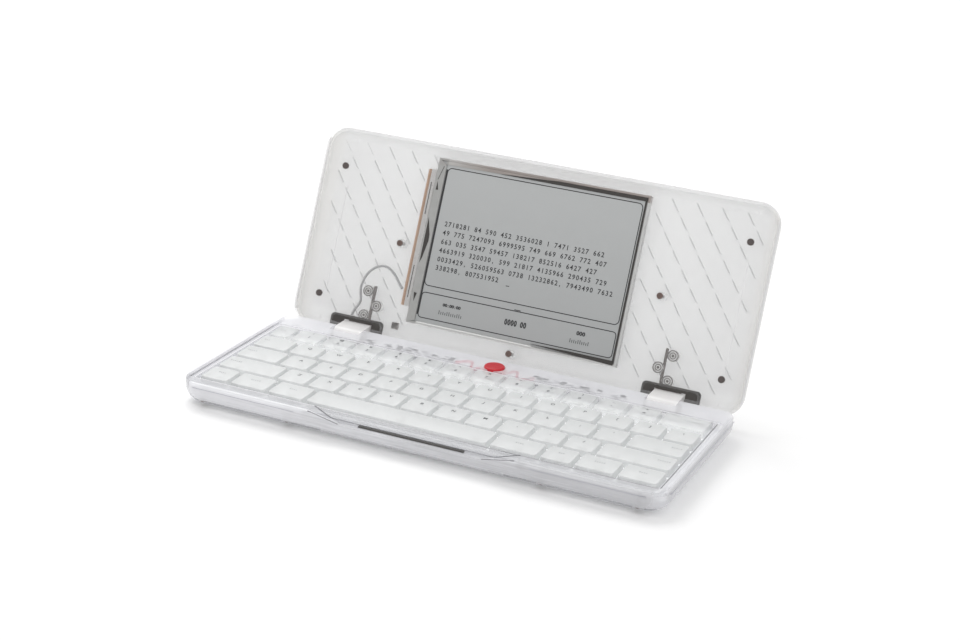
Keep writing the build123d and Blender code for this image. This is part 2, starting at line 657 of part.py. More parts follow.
def slot_face(margin):
    """The bezel's hinge slot, square at its foot and rounded at its upper corners."""
    half = SLOT_WIDTH / 2 + margin
    low, high = SLOT_LOW - margin, SLOT_HIGH + margin
    outline = Pos(SLOT_X, (low + high) / 2) * Rectangle(2 * half, high - low)
    return fillet(outline.vertices().sort_by(Axis.Y)[-2:], SLOT_CORNER_R)


def hinge_slot_liners():
    """Black plates behind the bezel that close each slot round its arm."""
    plate = extrude(Pos(0, 0, ARM_END) * slot_face(LINER_MARGIN), LINER_THICK)
    plate -= arm_passage(ARM_END - 1, BEZEL)
    return [in_lid(piece) for piece in both_sides(plate)]


def hinge_lid_bracket():
    """The right-hand steel strip in the lid: a foot on the arm, an upright flange and three ears."""
    back = ARM_END - BRACKET_THICK
    foot_low, foot_high = 4.2, 10.4
    foot = box_between((BRACKET_X - 2.4, foot_low, back), (BRACKET_X + 13.0, foot_high, ARM_END))
    flange = box_between((BRACKET_X - BRACKET_FLANGE / 2, foot_low + 1.5, back),
                         (BRACKET_X + BRACKET_FLANGE / 2, BRACKET_HIGH, ARM_END))
    rail_low = SLOT_HIGH + LINER_MARGIN + PIECE_GAP
    rail = box_between((BRACKET_X - BRACKET_FLANGE / 2, rail_low, back),
                       (BRACKET_X + BRACKET_FLANGE / 2, BRACKET_HIGH, BEZEL_UNDER - FIT))
    ears = []
    for x, y in EAR_SPOTS:
        link = box_between((min(x, BRACKET_X), y - 1.6, back), (max(x, BRACKET_X), y + 1.6, ARM_END))
        ears.append((link + rod(x, y, back, ARM_END, EAR_R)) - rod(x, y, back, ARM_END, LID_SCREW_R + FIT))
    bracket = joined(foot + flange, ears)
    return in_lid(drilled(bracket + rail, EAR_SPOTS, back, BEZEL_UNDER, LID_SCREW_R + FIT))


def bracket_screws():
    """The six screws of the lid brackets."""
    screws = []
    for x, y in EAR_SPOTS:
        head = rod(x, y, ARM_END, ARM_END + EAR_SCREW_HEAD, LID_SCREW_HEAD_R)
        shank = rod(x, y, LID_FLOOR + PIECE_GAP, ARM_END, LID_SCREW_R)
        socket = rod(x, y, ARM_END + EAR_SCREW_HEAD / 2, ARM_END + EAR_SCREW_HEAD, LID_SCREW_R * 0.7)
        screws += both_sides(head + shank - socket)
    return [in_lid(screw) for screw in screws]


# ================================================================ lid shells
def lid_block(inset, low, high, edge=0.0):
    """The lid's outline drawn in by inset, between two depths, with its back edge rounded."""
    length = LID_END - LID_START
    block = rounded_block(LID_WIDTH - 2 * inset, length - 2 * inset, LID_CORNER_R - inset, low, high,
                          LID_START + length / 2)
    if edge:
        block = fillet(block.faces().sort_by(Axis.Z)[0].edges(), edge)
    return block


def rib_dashes():
    """The slanting dashed ribs inside the back cover, clear of what the display covers."""
    slant = degrees(atan(1 / RIB_SLOPE))
    stretch = sqrt(1 + 1 / RIB_SLOPE ** 2)
    reach = RIB_DASH * stretch / 2
    dash = box_between((-RIB_WIDTH / 2, -reach, LID_FLOOR - 0.2),
                       (RIB_WIDTH / 2, reach, LID_FLOOR + RIB_HEIGHT))
    half_x = LID_WIDTH / 2 - RIB_CLEAR
    dashes = []
    for row in range(-2, 14):
        y = RIB_PHASE_Y - row * RIB_PITCH_Y - RIB_DASH / 2
        if not LID_START + RIB_CLEAR < y < LID_END - RIB_CLEAR:
            continue
        for column in range(-20, 12):
            x = RIB_PHASE_X + column * RIB_PITCH_X + (row * RIB_PITCH_Y + RIB_DASH / 2) / RIB_SLOPE
            beside = SCREEN_LEFT - 4 < x < SCREEN_RIGHT + 2 and SCREEN_LOW - 3 < y
            if abs(x) < half_x and not beside:
                dashes.append(Pos(x, y, 0) * Rot(0, 0, slant) * dash)
    return dashes


def lid_bosses():
    """Bosses and rests that rise from the inside of the back cover."""
    back = ARM_END - BRACKET_THICK
    pieces = [rod(x, y, LID_FLOOR - 0.2, BEZEL_UNDER, LID_BOSS_R) for x, y in LID_SCREW_SPOTS]
    for x, y in EAR_SPOTS:
        pieces += both_sides(rod(x, y, LID_FLOOR - 0.2, back, LID_BOSS_R))
    tray_back = tray_depth() - TRAY_THICK
    for x in TRAY_POST_X:
        pieces += [rod(x, y, LID_FLOOR - 0.2, tray_back, LID_BOSS_R) for y in TRAY_POST_Y]
    for x in (-RAIL_X, RAIL_X):
        pieces.append(box_between((x - RIB_WIDTH / 2, RAIL_LOW, LID_FLOOR - 0.2),
                                  (x + RIB_WIDTH / 2, RAIL_HIGH, LID_FLOOR + RAIL_HEIGHT)))
    return pieces


def lid_back_cover():
    """The clear outer shell of the lid."""
    shell = lid_block(0, LID_BACK, LID_SEAM, LID_EDGE_R)
    shell -= lid_block(WALL, LID_FLOOR, LID_SEAM, LID_EDGE_R - WALL)
    shell = joined(shell, lid_bosses())
    shell += rib_dashes()
    for x, y in LID_SCREW_SPOTS:
        shell -= rod(x, y, LID_FLOOR, BEZEL_UNDER, LID_SCREW_R)
    for x, y in EAR_SPOTS:
        for piece in both_sides(rod(x, y, LID_FLOOR, BEZEL_UNDER, LID_SCREW_R)):
            shell -= piece
    return in_lid(shell)


def lid_bezel():
    """The clear frame of the lid: a rim that slopes down to the bezel face."""
    frame = lid_block(0, LID_SEAM, LID_RIM)
    frame = fillet(frame.faces().sort_by(Axis.Z)[-1].edges(), RIM_ROUND)
    length = LID_END - LID_START
    middle = LID_START + length / 2

    def opening(inset, z):
        size = (LID_WIDTH - 2 * inset, length - 2 * inset)
        return Pos(0, middle, z) * RectangleRounded(*size, LID_CORNER_R - inset)

    frame -= loft([opening(RIM_FLAT + RIM_SLOPE, BEZEL), opening(RIM_FLAT, LID_RIM)])
    inner = RIM_FLAT + RIM_SLOPE
    plate = lid_block(inner - 1, BEZEL_UNDER, BEZEL)
    under = lid_block(WALL + FIT, BEZEL_UNDER, LID_SEAM) if BEZEL_UNDER < LID_SEAM else plate
    frame = frame + plate + under
    gap = FIT * 3
    frame -= box_between((SCREEN_LEFT - gap, SCREEN_LOW - gap, BEZEL_UNDER),
                         (SCREEN_RIGHT + gap, SCREEN_HIGH + gap, BEZEL))
    for piece in both_sides(extrude(Pos(0, 0, BEZEL_UNDER) * slot_face(0), BEZEL_THICK)):
        frame -= piece
    for piece in both_sides(arm_passage(BEZEL_UNDER - 1, BEZEL + BEZEL_RECESS + 1)):
        frame -= piece
    frame = drilled(frame, BUMPER_SPOTS, BEZEL_UNDER, BEZEL, BUMPER_STEM_R)
    frame = drilled(frame, LID_SCREW_SPOTS, BEZEL_UNDER, BEZEL, LID_SCREW_R + FIT)
    frame = drilled(frame, LID_SCREW_SPOTS, BEZEL - LID_SCREW_HEAD, BEZEL, LID_SCREW_HEAD_R + FIT)
    return in_lid(frame)


def lid_bumpers():
    """Rubber dots that keep the shut screen off the keys."""
    heads = [rod(x, y, BEZEL, BEZEL + BUMPER_PROUD, BUMPER_R) for x, y in BUMPER_SPOTS]
    stems = [rod(x, y, BEZEL_UNDER, BEZEL, BUMPER_STEM_R) for x, y in BUMPER_SPOTS]
    return [in_lid(head + stem) for head, stem in zip(heads, stems)]


def lid_screws():
    """Screws that hold the bezel to the back cover."""
    screws = []
    for x, y in LID_SCREW_SPOTS:
        head = rod(x, y, BEZEL - LID_SCREW_HEAD, BEZEL, LID_SCREW_HEAD_R)
        shank = rod(x, y, LID_FLOOR + PIECE_GAP, BEZEL - LID_SCREW_HEAD, LID_SCREW_R)
        socket = rod(x, y, BEZEL - LID_SCREW_HEAD / 2, BEZEL, LID_SCREW_R * 0.7)
        screws.append(in_lid(head + shank - socket))
    return screws


def lid_magnet():
    """The small square magnet that tells the machine that the lid is shut."""
    x, y = MAGNET_SPOT
    half = MAGNET_SIZE / 2
    low = BEZEL_UNDER - MAGNET_THICK
    return in_lid(box_between((x - half, y - half, low), (x + half, y + half, BEZEL_UNDER)))


# ================================================================ display
def tray_depth():
    """Depth of the panel's rear face."""
    return BEZEL - FRAME_SINK - PANEL_SINK - PANEL_THICK


def display_frame():
    """The silver metal edge round the panel, bevelled towards it."""
    face = BEZEL - FRAME_SINK
    bevel = PANEL_SINK * 0.8

    def outline(inset, z):
        size = (SCREEN_RIGHT - SCREEN_LEFT - 2 * inset, SCREEN_HIGH - SCREEN_LOW - 2 * inset)
        return Pos((SCREEN_LEFT + SCREEN_RIGHT) / 2, (SCREEN_LOW + SCREEN_HIGH) / 2, z) * Rectangle(*size)

    ring = extrude(outline(0, face - FRAME_DEPTH) - outline(FRAME_BAR, face - FRAME_DEPTH), FRAME_DEPTH)
    return in_lid(ring - loft([outline(FRAME_BAR, face - bevel), outline(FRAME_BAR - bevel, face)]))


def panel_box(low, high):
    """A slab that fills the display frame between two depths."""
    inset = FRAME_BAR + FIT
    return box_between((SCREEN_LEFT + inset, SCREEN_LOW + inset, low),
                       (SCREEN_RIGHT - inset, SCREEN_HIGH - inset, high))


def eink_panel():
    """The e-paper panel."""
    rear = tray_depth()
    return in_lid(panel_box(rear, rear + PANEL_THICK))


def display_tray():
    """The metal tray behind the panel."""
    return in_lid(panel_box(tray_depth() - TRAY_THICK, tray_depth()))


def driver_board():
    """The narrow display board beside the frame, with two slots along it."""
    top = BEZEL_UNDER - FIT
    board = box_between(
        (BOARD_EDGE_X, DRIVER_LOW, top - DRIVER_THICK), (SCREEN_LEFT - FIT, DRIVER_HIGH, top)
    )
    length = DRIVER_HIGH - DRIVER_LOW
    for share in (0.18, 0.79):
        y = DRIVER_LOW + share * length
        board -= Pos(BOARD_EDGE_X + 2.0, y, top) * Box(0.7, length * 0.24, 4 * DRIVER_THICK)
    return in_lid(board)


def display_lead():
    """The grey lead in the lid, from the left hinge to the driver board."""
    points = [(-BARREL_X - out, y, LEAD_DEPTH) for out, y in LEAD_ROUTE]
    path = FilletPolyline(*points, radius=route_radii(points))
    tube = sweep(path.location_at(0) * Circle(LEAD_R), path=path)
    return in_lid(tube)


def route_radii(points):
    """As large an arc at each point as its two runs allow."""
    radii = []
    for before, here, after in zip(points, points[1:], points[2:]):
        arriving, leaving = Vector(here) - Vector(before), Vector(after) - Vector(here)
        turn = radians(arriving.get_angle(leaving))
        shorter = min(arriving.length, leaving.length)
        radii.append(0.45 * shorter * cos(turn / 2) / sin(turn / 2))
    return radii


# ================================================================ hand over
def right_and_left(name, piece):
    """A handed piece and its mirror image as two named nodes."""
    right, left = both_sides(piece)
    return {name + "_right": right, name + "_left": left}


def build():
    """Every node by name: one solid, or a list of separate solids."""
    nodes = {
        "bottom_cover": bottom_cover(),
        "top_deck": top_deck(),
        "base_screws": base_screws(),
        "rubber_feet": rubber_feet(),
        "keyboard_plate": keyboard_plate(),
        "dome_sheet": dome_sheet(),
        "key_guides": key_guides(),
        "main_board": main_board(),
        "board_chips": board_chips(),
        "power_switch": power_switch(),
        "power_button": power_button(),
        "button_springs": button_springs(),
        "battery": battery(),
        "usb_board": usb_board(),
        "usb_c_socket": usb_c_socket(),
        "catch_magnets": catch_magnets(),
        "catch_strip": catch_strip(),
        "hinge_pins": hinge_pins(),
        "hinge_slot_liners": hinge_slot_liners(),
        "bracket_screws": bracket_screws(),
        "lid_back_cover": lid_back_cover(),
        "lid_bezel": lid_bezel(),
        "lid_bumpers": lid_bumpers(),
        "lid_screws": lid_screws(),
        "lid_magnet": lid_magnet(),
        "display_frame": display_frame(),
        "eink_panel": eink_panel(),
        "display_tray": display_tray(),
        "driver_board": driver_board(),
        "display_lead": display_lead(),
    }
    nodes |= right_and_left("hinge_base_bracket", hinge_base_bracket())
    nodes |= right_and_left("hinge_arm", hinge_arm())
    nodes |= right_and_left("hinge_lid_bracket", hinge_lid_bracket())
    nodes |= keys()
    return nodes


def export(name, piece):
    """Write one node as a STEP file."""
    items = piece if isinstance(piece, (list, tuple)) else [piece]
    solids = [solid for item in items for solid in item.solids()]
    shape = solids[0] if len(solids) == 1 else Compound(children=solids)
    shape.label = name
    export_step(shape, f"parts/{name}.step")


for node_name, node_shape in build().items():
    export(node_name, node_shape)
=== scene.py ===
"""Looks for the clear electronic word processor: finishes for its moulded, metal and printed pieces."""

import bmesh
import bpy
import math
from mathutils import Matrix, Vector


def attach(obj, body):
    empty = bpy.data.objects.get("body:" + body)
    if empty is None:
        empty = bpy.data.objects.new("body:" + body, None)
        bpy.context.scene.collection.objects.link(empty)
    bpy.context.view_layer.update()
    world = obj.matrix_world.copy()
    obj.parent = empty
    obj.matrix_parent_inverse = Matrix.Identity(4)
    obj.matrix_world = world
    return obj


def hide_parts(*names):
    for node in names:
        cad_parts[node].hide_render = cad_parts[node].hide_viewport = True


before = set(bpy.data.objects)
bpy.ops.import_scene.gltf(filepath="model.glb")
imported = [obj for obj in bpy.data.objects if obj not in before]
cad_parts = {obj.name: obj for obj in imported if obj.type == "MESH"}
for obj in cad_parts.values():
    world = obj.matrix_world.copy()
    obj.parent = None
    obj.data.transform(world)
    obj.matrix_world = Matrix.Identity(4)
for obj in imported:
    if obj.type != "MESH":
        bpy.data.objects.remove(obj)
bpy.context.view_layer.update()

bl_info = {
    "name": "Clear word processor",
    "version": (1, 0, 0),
    "blender": (4, 5, 0),
    "location": "View3D > Sidebar > Word processor",
    "description": "Finishes, printed marks and studio for a clear clamshell word processor",
    "category": "Object",
}

MM = 0.001
AXIS_Y, AXIS_Z = 59.3, 9.5          # hinge axis, mm
OPEN_ANGLE = 111.4                  # lid opening in the modelled pose, degrees
LID = (Matrix.Translation((0, AXIS_Y * MM, AXIS_Z * MM))
       @ Matrix.Rotation(math.radians(180 - OPEN_ANGLE), 4, "X") @ Matrix.Scale(MM, 4))
BASE = Matrix.Scale(MM, 4)

BEZEL_FACE = -6.65                  # depths in the lid's frame, mm
FRAME_FACE = BEZEL_FACE - 0.35
PANEL_FACE = FRAME_FACE - 0.6
LID_INNER_FLOOR = -14.1
EAR_FACE = BEZEL_FACE - 1.6         # just in front of the ear screws
EARS = ((97.1, 28.2), (89.9, 20.1), (96.9, 13.4))       # bracket ears: across and up the lid, mm
EAR_RADIUS = 3.45
RAIL_X = 127.5                      # fine upright ribs in the lid, mm
SCREEN_HALF = 66.0                  # half the display's width, mm

BASE_TOP = 14.0                     # heights in the base, mm
SEAM_Z = 11.4                       # where the deck meets the bottom cover
WELL_LINE_Z = 13.42
KEY_FACE = 14.5
KEY_PITCH = 19.05
KEY_FRONT = -54.0
DIGIT_ROW_Y = 22.0                  # the digit row lies behind this, mm
WALL_X, WALL_Y = 141.7, -61.9       # outside these the base is its own upright wall, mm
WALL_DENSITY = 0.8                  # share of the light that such a wall stops
BASE_HALF_X, BASE_FRONT_Y = 143.0, -63.7
SCOOP_TOP_X, SCOOP_STEP_X, SCOOP_FLOOR_X = 60.6, 48.0, 42.2         # the thumb scoop's edges, mm
SCOOP_REAR_Y, SCOOP_STEP_Y, SCOOP_FRONT_Y = -55.3, -60.0, -63.45
PRINT_HEIGHT = 0.03                 # thickness of printed marks, mm

# colours that more than one finish reads
KEY_WHITE = (0.79, 0.80, 0.80)
LID_END_TINT = (0.84, 0.825, 0.80)
FRAME_SILVER = (0.60, 0.60, 0.59)
FRAME_REFLECTION_BROWN = (0.36, 0.32, 0.30)
FRAME_SHADE_GREY = (0.43, 0.43, 0.42)
SCREEN_GREY = (0.47, 0.48, 0.48)
# painted light: emission that lightens the key gaps from the parts under the keys, which give no light
UNDER_KEY_PAINTED_LIGHT = {"Emission_Color": (0.93, 0.95, 0.95), "Emission_Strength": 0.36}

# one string per key row, front to rear: each key is "width:mark:second mark", "#n" is a word of n strokes
KEY_ROWS = (
    "1:#4 1.25:#5 1.25:#4 5.75: 1.5:#4 1:#3 1.25:#5 1.25:#4",
    "2:#6 1:Z 1:X 1:C 1:V 1:B 1:N 1:M 1:, 1:. 1:/ 2.25:#6",
    "1.5:#5 1:A 1:S 1:D 1:F 1:G 1:H 1:J 1:K 1:L 1:; 1:' 1.75:#5",
    "1.25:#3 1:Q 1:W 1:E 1:R 1:T 1:Y 1:U 1:I 1:O 1:P 1:[ 1:] 1:\\",
    "0.75:#3 1:1:! 1:2:@ 1:3:# 1:4:$ 1:5:% 1:6:^ 1:7:& 1:8:* 1:9:( 1:0:) 1:-:_ 1:=:+ 1.5:#9",
)
ROW_BODIES = (
    ("key_bottom_1", "key_bottom_2", "key_bottom_3", "space_bar",
     "key_bottom_5", "key_bottom_6", "key_bottom_7", "key_bottom_8"),
    ("key_shift_left",) + ("keys_lower_row",) * 10 + ("key_shift_right",),
    ("key_caps",) + ("keys_home_row",) * 11 + ("key_enter",),
    ("key_tab",) + ("keys_upper_row",) * 13,
    ("key_escape",) + ("keys_digit_row",) * 12 + ("key_backspace",),
)


# ---------------------------------------------------------------- shader maths
class Wire:
    """A shader socket that takes part in sums written as Python."""

    def __init__(self, finish, socket):
        self.finish, self.socket = finish, socket

    def _maths(self, operation, *values):
        return self.finish.node("ShaderNodeMath", {"operation": operation}, dict(enumerate(values)))

    def __add__(self, other):
        return self._maths("ADD", self, other)

    def __radd__(self, other):
        return self._maths("ADD", other, self)

    def __sub__(self, other):
        return self._maths("SUBTRACT", self, other)

    def __rsub__(self, other):
        return self._maths("SUBTRACT", other, self)

    def __mul__(self, other):
        return self._maths("MULTIPLY", self, other)

    def __rmul__(self, other):
        return self._maths("MULTIPLY", other, self)

    def __truediv__(self, other):
        return self._maths("DIVIDE", self, other)

    def __lt__(self, other):
        return self._maths("LESS_THAN", self, other)

    def __gt__(self, other):
        return self._maths("GREATER_THAN", self, other)

    def abs(self):
        return self._maths("ABSOLUTE", self)

    def clamp(self):
        return self._maths("MINIMUM", self._maths("MAXIMUM", self, 0.0), 1.0)

    def largest(self, other):
        return self._maths("MAXIMUM", self, other)


class Finish:
    """One material, built on a Principled shader."""

    def __init__(self, name, colour, roughness, **constants):
        self.material = bpy.data.materials.new(name)
        self.material.use_nodes = True
        self.tree = self.material.node_tree
        self.shader = self.tree.nodes["Principled BSDF"]
        self.set("Base Color", colour)
        self.set("Roughness", roughness)
        for socket, value in constants.items():
            self.set(socket.replace("_", " "), value)

    def node(self, kind, settings=None, values=None, output=0):
        """A new node with its settings made first, then its sockets' values or links."""
        made = self.tree.nodes.new(kind)
        for key, value in (settings or {}).items():
            setattr(made, key, value)
        for key, value in (values or {}).items():
            self._feed(made.inputs[key], value)
        return Wire(self, made.outputs[output])

    def _feed(self, socket, value):
        if isinstance(value, Wire):
            self.tree.links.new(value.socket, socket)
        elif isinstance(value, tuple) and socket.type == "RGBA" and len(value) == 3:
            socket.default_value = value + (1.0,)
        else:
            socket.default_value = value

    def set(self, name, value):
        """Feed one socket of the shader."""
        self._feed(self.shader.inputs[name], value)

    def place(self, location=(0, 0, 0), turn=(0, 0, 0), scale=(1, 1, 1)):
        """Object coordinates seen from a place on the piece."""
        where = self.node("ShaderNodeTexCoord", output=3)
        values = {"Vector": where, "Location": location, "Rotation": turn, "Scale": scale}
        return self.node("ShaderNodeMapping", {"vector_type": "TEXTURE"}, values)

    def in_lid(self):
        """Object coordinates in the lid's frame, millimetres."""
        return self.place((0, AXIS_Y * MM, AXIS_Z * MM), (math.radians(180 - OPEN_ANGLE), 0, 0), (MM, MM, MM))

    def in_base(self):
        """Object coordinates in millimetres."""
        return self.place(scale=(MM, MM, MM))

    def axes(self, vector):
        """The three numbers of a vector."""
        split = self.tree.nodes.new("ShaderNodeSeparateXYZ")
        self._feed(split.inputs[0], vector)
        return [Wire(self, output) for output in split.outputs]

    def noise(self, vector, scale, detail=2.0, roughness=0.5):
        """Smooth noise between nought and one."""
        values = {"Vector": vector, "Scale": scale, "Detail": detail, "Roughness": roughness}
        return self.node("ShaderNodeTexNoise", None, values)

    def stretched_noise(self, vector, scale, detail=3.0, roughness=0.7):
        """Noise that is drawn out by its own scale on each axis."""
        drawn = self.node("ShaderNodeVectorMath", {"operation": "MULTIPLY"}, {0: vector, 1: scale})
        return self.noise(drawn, 1.0, detail, roughness)

    def mix(self, factor, first, second):
        """A blend of two colours."""
        values = {"Factor": factor, 6: first, 7: second}
        return self.node("ShaderNodeMix", {"data_type": "RGBA"}, values, output=2)

    def bump(self, height, strength, distance):
        """Fine relief, with its depth in millimetres."""
        values = {"Height": height, "Strength": strength, "Distance": distance * MM}
        self.set("Normal", self.node("ShaderNodeBump", None, values))

    def facing(self, blend):
        """Nought where the surface faces the viewer, rising towards its outline."""
        return self.node("ShaderNodeLayerWeight", None, {"Blend": blend}, output=1)


def shade_of(colour, amount):
    """The colour made lighter or darker."""
    return tuple(min(1.0, part * amount) for part in colour)


# ---------------------------------------------------------------- finishes
def clear_plastic(name, tint, see_through, roughness=0.16, wave=0.05, wall_shade=1.0, rear_painted_light=0.0):
    """Clear moulded plastic, denser where its upright walls are seen along their length. Its walls carry painted
    shade, lighter at the left and darker at the right, and painted reflection bands. Its front edge has painted
    shade, and its rear a painted glow where asked.
    """
    finish = Finish(name, tint, roughness, IOR=1.49, Specular_IOR_Level=0.5, Emission_Strength=rear_painted_light)
    where = finish.in_base()
    x, y, _ = finish.axes(where)
    cloud = finish.noise(where, 0.035, 2.0)
    fine = finish.noise(where, 0.9, 3.0, 0.6)
    # painted light: the deck glows behind the keys, though nothing there gives light
    if rear_painted_light:
        painted_light_behind_keys = ((y - 40.0) / 4.0).clamp()
        finish.set("Emission Color", finish.mix(painted_light_behind_keys, (0.0, 0.0, 0.0), (0.97, 0.97, 1.0)))
    finish.set("Roughness", roughness + (fine - 0.5) * 0.08)
    body = finish.mix(cloud, shade_of(tint, 0.97), shade_of(tint, 1.03))
    # painted shade: darker along the front edge
    painted_front_shade = ((-50.0 - y) / 4.0).clamp()
    body = finish.mix(painted_front_shade, body, shade_of(tint, 0.88))
    wall = (x.abs() > WALL_X).largest(y < WALL_Y)
    # painted shade and painted reflection on the upright walls: lighter at the left, darker at the right, with
    # lighter and darker bands along them
    painted_reflection_bands = finish.stretched_noise(where, (0.03, 0.03, 0.75), 3.0, 0.6)
    along = ((x + 110.0) / 200.0 + (cloud - 0.5) * 0.3 + (painted_reflection_bands - 0.5) * 2.2).clamp()
    walls = finish.mix(along, shade_of(tint, wall_shade * 1.16), shade_of(tint, wall_shade * 0.84))
    finish.set("Base Color", finish.mix(wall, body, walls))
    dense = (1.0 - see_through) + finish.facing(0.35) * see_through * 0.4 + (cloud - 0.5) * 0.06
    finish.set("Alpha", dense.largest(wall * WALL_DENSITY).clamp())
    finish.bump(finish.noise(where, 0.16, 1.0) * 0.8 + fine * 0.04, wave, 0.5)
    return finish.material


def lid_plastic(name, tint, see_through):
    """The lid's back cover: whitest round the screen, greyer outward, lighter at its foot with painted light and a
    little warm at its ends.
    """
    finish = Finish(name, tint, 0.2, IOR=1.49)
    where = finish.in_lid()
    x, y, z = finish.axes(where)
    cloud = finish.noise(where, 0.03, 2.0)
    away = ((x.abs() - SCREEN_HALF).largest(0.0) / 76.0 + (cloud - 0.5) * 0.3).clamp()
    face = finish.mix(away, shade_of(tint, 1.04), shade_of(tint, 0.95))
    foot, ends = ((16.0 - y) / 5.0).clamp(), ((x.abs() - 133.0) / 6.0).clamp()
    # painted light: the cover is lighter towards its foot, near the hinge
    face = finish.mix(foot, face, shade_of(tint, 1.07))
    finish.set("Base Color", finish.mix(ends, face, LID_END_TINT))
    fine = finish.noise(where, 0.8, 3.0, 0.6)
    finish.set("Roughness", 0.2 + (fine - 0.5) * 0.1)
    rail = ((x.abs() - RAIL_X).abs() < 0.7) * ((z - LID_INNER_FLOOR - 0.4).abs() < 0.35) * 0.3
    finish.set("Alpha", ((1.0 - see_through) + finish.facing(0.35) * see_through * 0.5 - rail).clamp())
    finish.bump(fine * 0.1 + finish.noise(where, 0.12, 1.0), 0.05, 0.5)
    return finish.material


def milky_keys():
    """Satin translucent key caps with the mechanism faintly showing."""
    finish = Finish("milky key plastic", KEY_WHITE, 0.42, IOR=1.49)
    where = finish.in_base()
    cloud = finish.noise(where, 0.05, 2.0)
    grain = finish.noise(where, 6.0, 3.0, 0.6)
    finish.set("Base Color", finish.mix(cloud, shade_of(KEY_WHITE, 0.95), shade_of(KEY_WHITE, 1.05)))
    finish.set("Roughness", 0.4 + (grain - 0.5) * 0.12)
    _, y, _ = finish.axes(where)
    clear_row = (y - DIGIT_ROW_Y).clamp() * 0.22
    finish.set("Alpha", (0.50 - clear_row + finish.facing(0.4) * 0.3).clamp())
    finish.bump(grain, 0.08, 0.06)
    return finish.material


def moulded(name, colour, roughness, grain_scale=4.0, spread=0.08, strength=0.12, **constants):
    """Plain moulded plastic or rubber with a fine grain."""
    finish = Finish(name, colour, roughness, **constants)
    where = finish.in_base()
    cloud = finish.noise(where, 0.12, 3.0)
    grain = finish.noise(where, grain_scale, 3.0, 0.65)
    finish.set("Base Color", finish.mix(cloud, shade_of(colour, 1 - spread), shade_of(colour, 1 + spread)))
    finish.set("Roughness", roughness + (grain - 0.5) * 0.16)
    finish.bump(grain, strength, 0.08)
    return finish.material


def brushed(name, colour, roughness, along=(0.15, 6.0, 6.0), spread=0.12):
    """Drawn or pressed metal with fine lines in one direction."""
    finish = Finish(name, colour, roughness, Metallic=1.0)
    where = finish.in_base()
    lines = finish.stretched_noise(where, along, 4.0)
    wear = finish.noise(where, 0.2, 4.0, 0.6)
    finish.set("Base Color", finish.mix(wear, shade_of(colour, 1 - spread), shade_of(colour, 1 + spread)))
    finish.set("Roughness", (roughness + (lines - 0.5) * 0.22 + (wear - 0.5) * 0.1).clamp())
    finish.bump(lines, 0.12, 0.03)
    return finish.material


def circle_mask(x, y, spots, radius):
    """One inside any of the circles, on either side of the lid, nought outside."""
    mask = None
    for cx, cy in spots:
        dx, dy = x.abs() - cx, y - cy
        inside = (dx * dx + dy * dy) < radius * radius
        mask = inside if mask is None else mask.largest(inside)
    return mask


def bracket_steel():
    """Dark plated steel strip whose round ears are bare and paler."""
    colour = (0.10, 0.08, 0.07)
    finish = Finish("plated bracket steel", colour, 0.42, Metallic=0.4)
    where = finish.in_lid()
    x, y, _ = finish.axes(where)
    ears = circle_mask(x, y, EARS, EAR_RADIUS)
    wear = finish.noise(where, 0.6, 4.0, 0.6)
    pale = finish.mix(wear, (0.80, 0.79, 0.78), (0.92, 0.91, 0.90))
    dark = finish.mix(wear, shade_of(colour, 0.8), shade_of(colour, 1.3))
    finish.set("Base Color", finish.mix(ears, dark, pale))
    finish.set("Roughness", 0.34 + wear * 0.16)
    finish.bump(finish.noise(where, 5.0, 2.0), 0.08, 0.04)
    return finish.material


def driver_board_finish():
    """White board with a copper edge on its left."""
    white, copper = (0.60, 0.585, 0.575), (0.40, 0.22, 0.12)
    finish = Finish("driver board", white, 0.45)
    where = finish.in_lid()
    x, y, _ = finish.axes(where)
    edge = x < -72.3
    traces = finish.stretched_noise(where, (1.6, 0.25, 1.0))
    face = finish.mix(traces > 0.56, white, (0.50, 0.485, 0.47))
    finish.set("Base Color", finish.mix(edge, face, copper))
    finish.set("Metallic", edge * 0.8)
    finish.set("Roughness", 0.5 - edge * 0.2)
    finish.bump(traces, 0.1, 0.05)
    return finish.material


def paper_screen():
    """Matt grey electronic paper, a little darker towards its foot, with its fine grain."""
    finish = Finish("electronic paper", SCREEN_GREY, 0.48, Specular_IOR_Level=0.3,
                    Coat_Weight=0.12, Coat_Roughness=0.25)
    where = finish.in_lid()
    _, y, _ = finish.axes(where)
    cells = finish.noise(where, 7.0, 2.0, 0.7)
    ghost = finish.noise(where, 0.06, 3.0, 0.6)
    fall = ((112.0 - y) / 100.0).clamp() * 0.8 + (ghost - 0.5) * 0.25 + (cells - 0.5) * 0.25
    finish.set("Base Color", finish.mix(fall.clamp(), shade_of(SCREEN_GREY, 1.05), shade_of(SCREEN_GREY, 0.88)))
    finish.set("Roughness", 0.44 + (cells - 0.5) * 0.1)
    finish.bump(cells, 0.04, 0.02)
    return finish.material


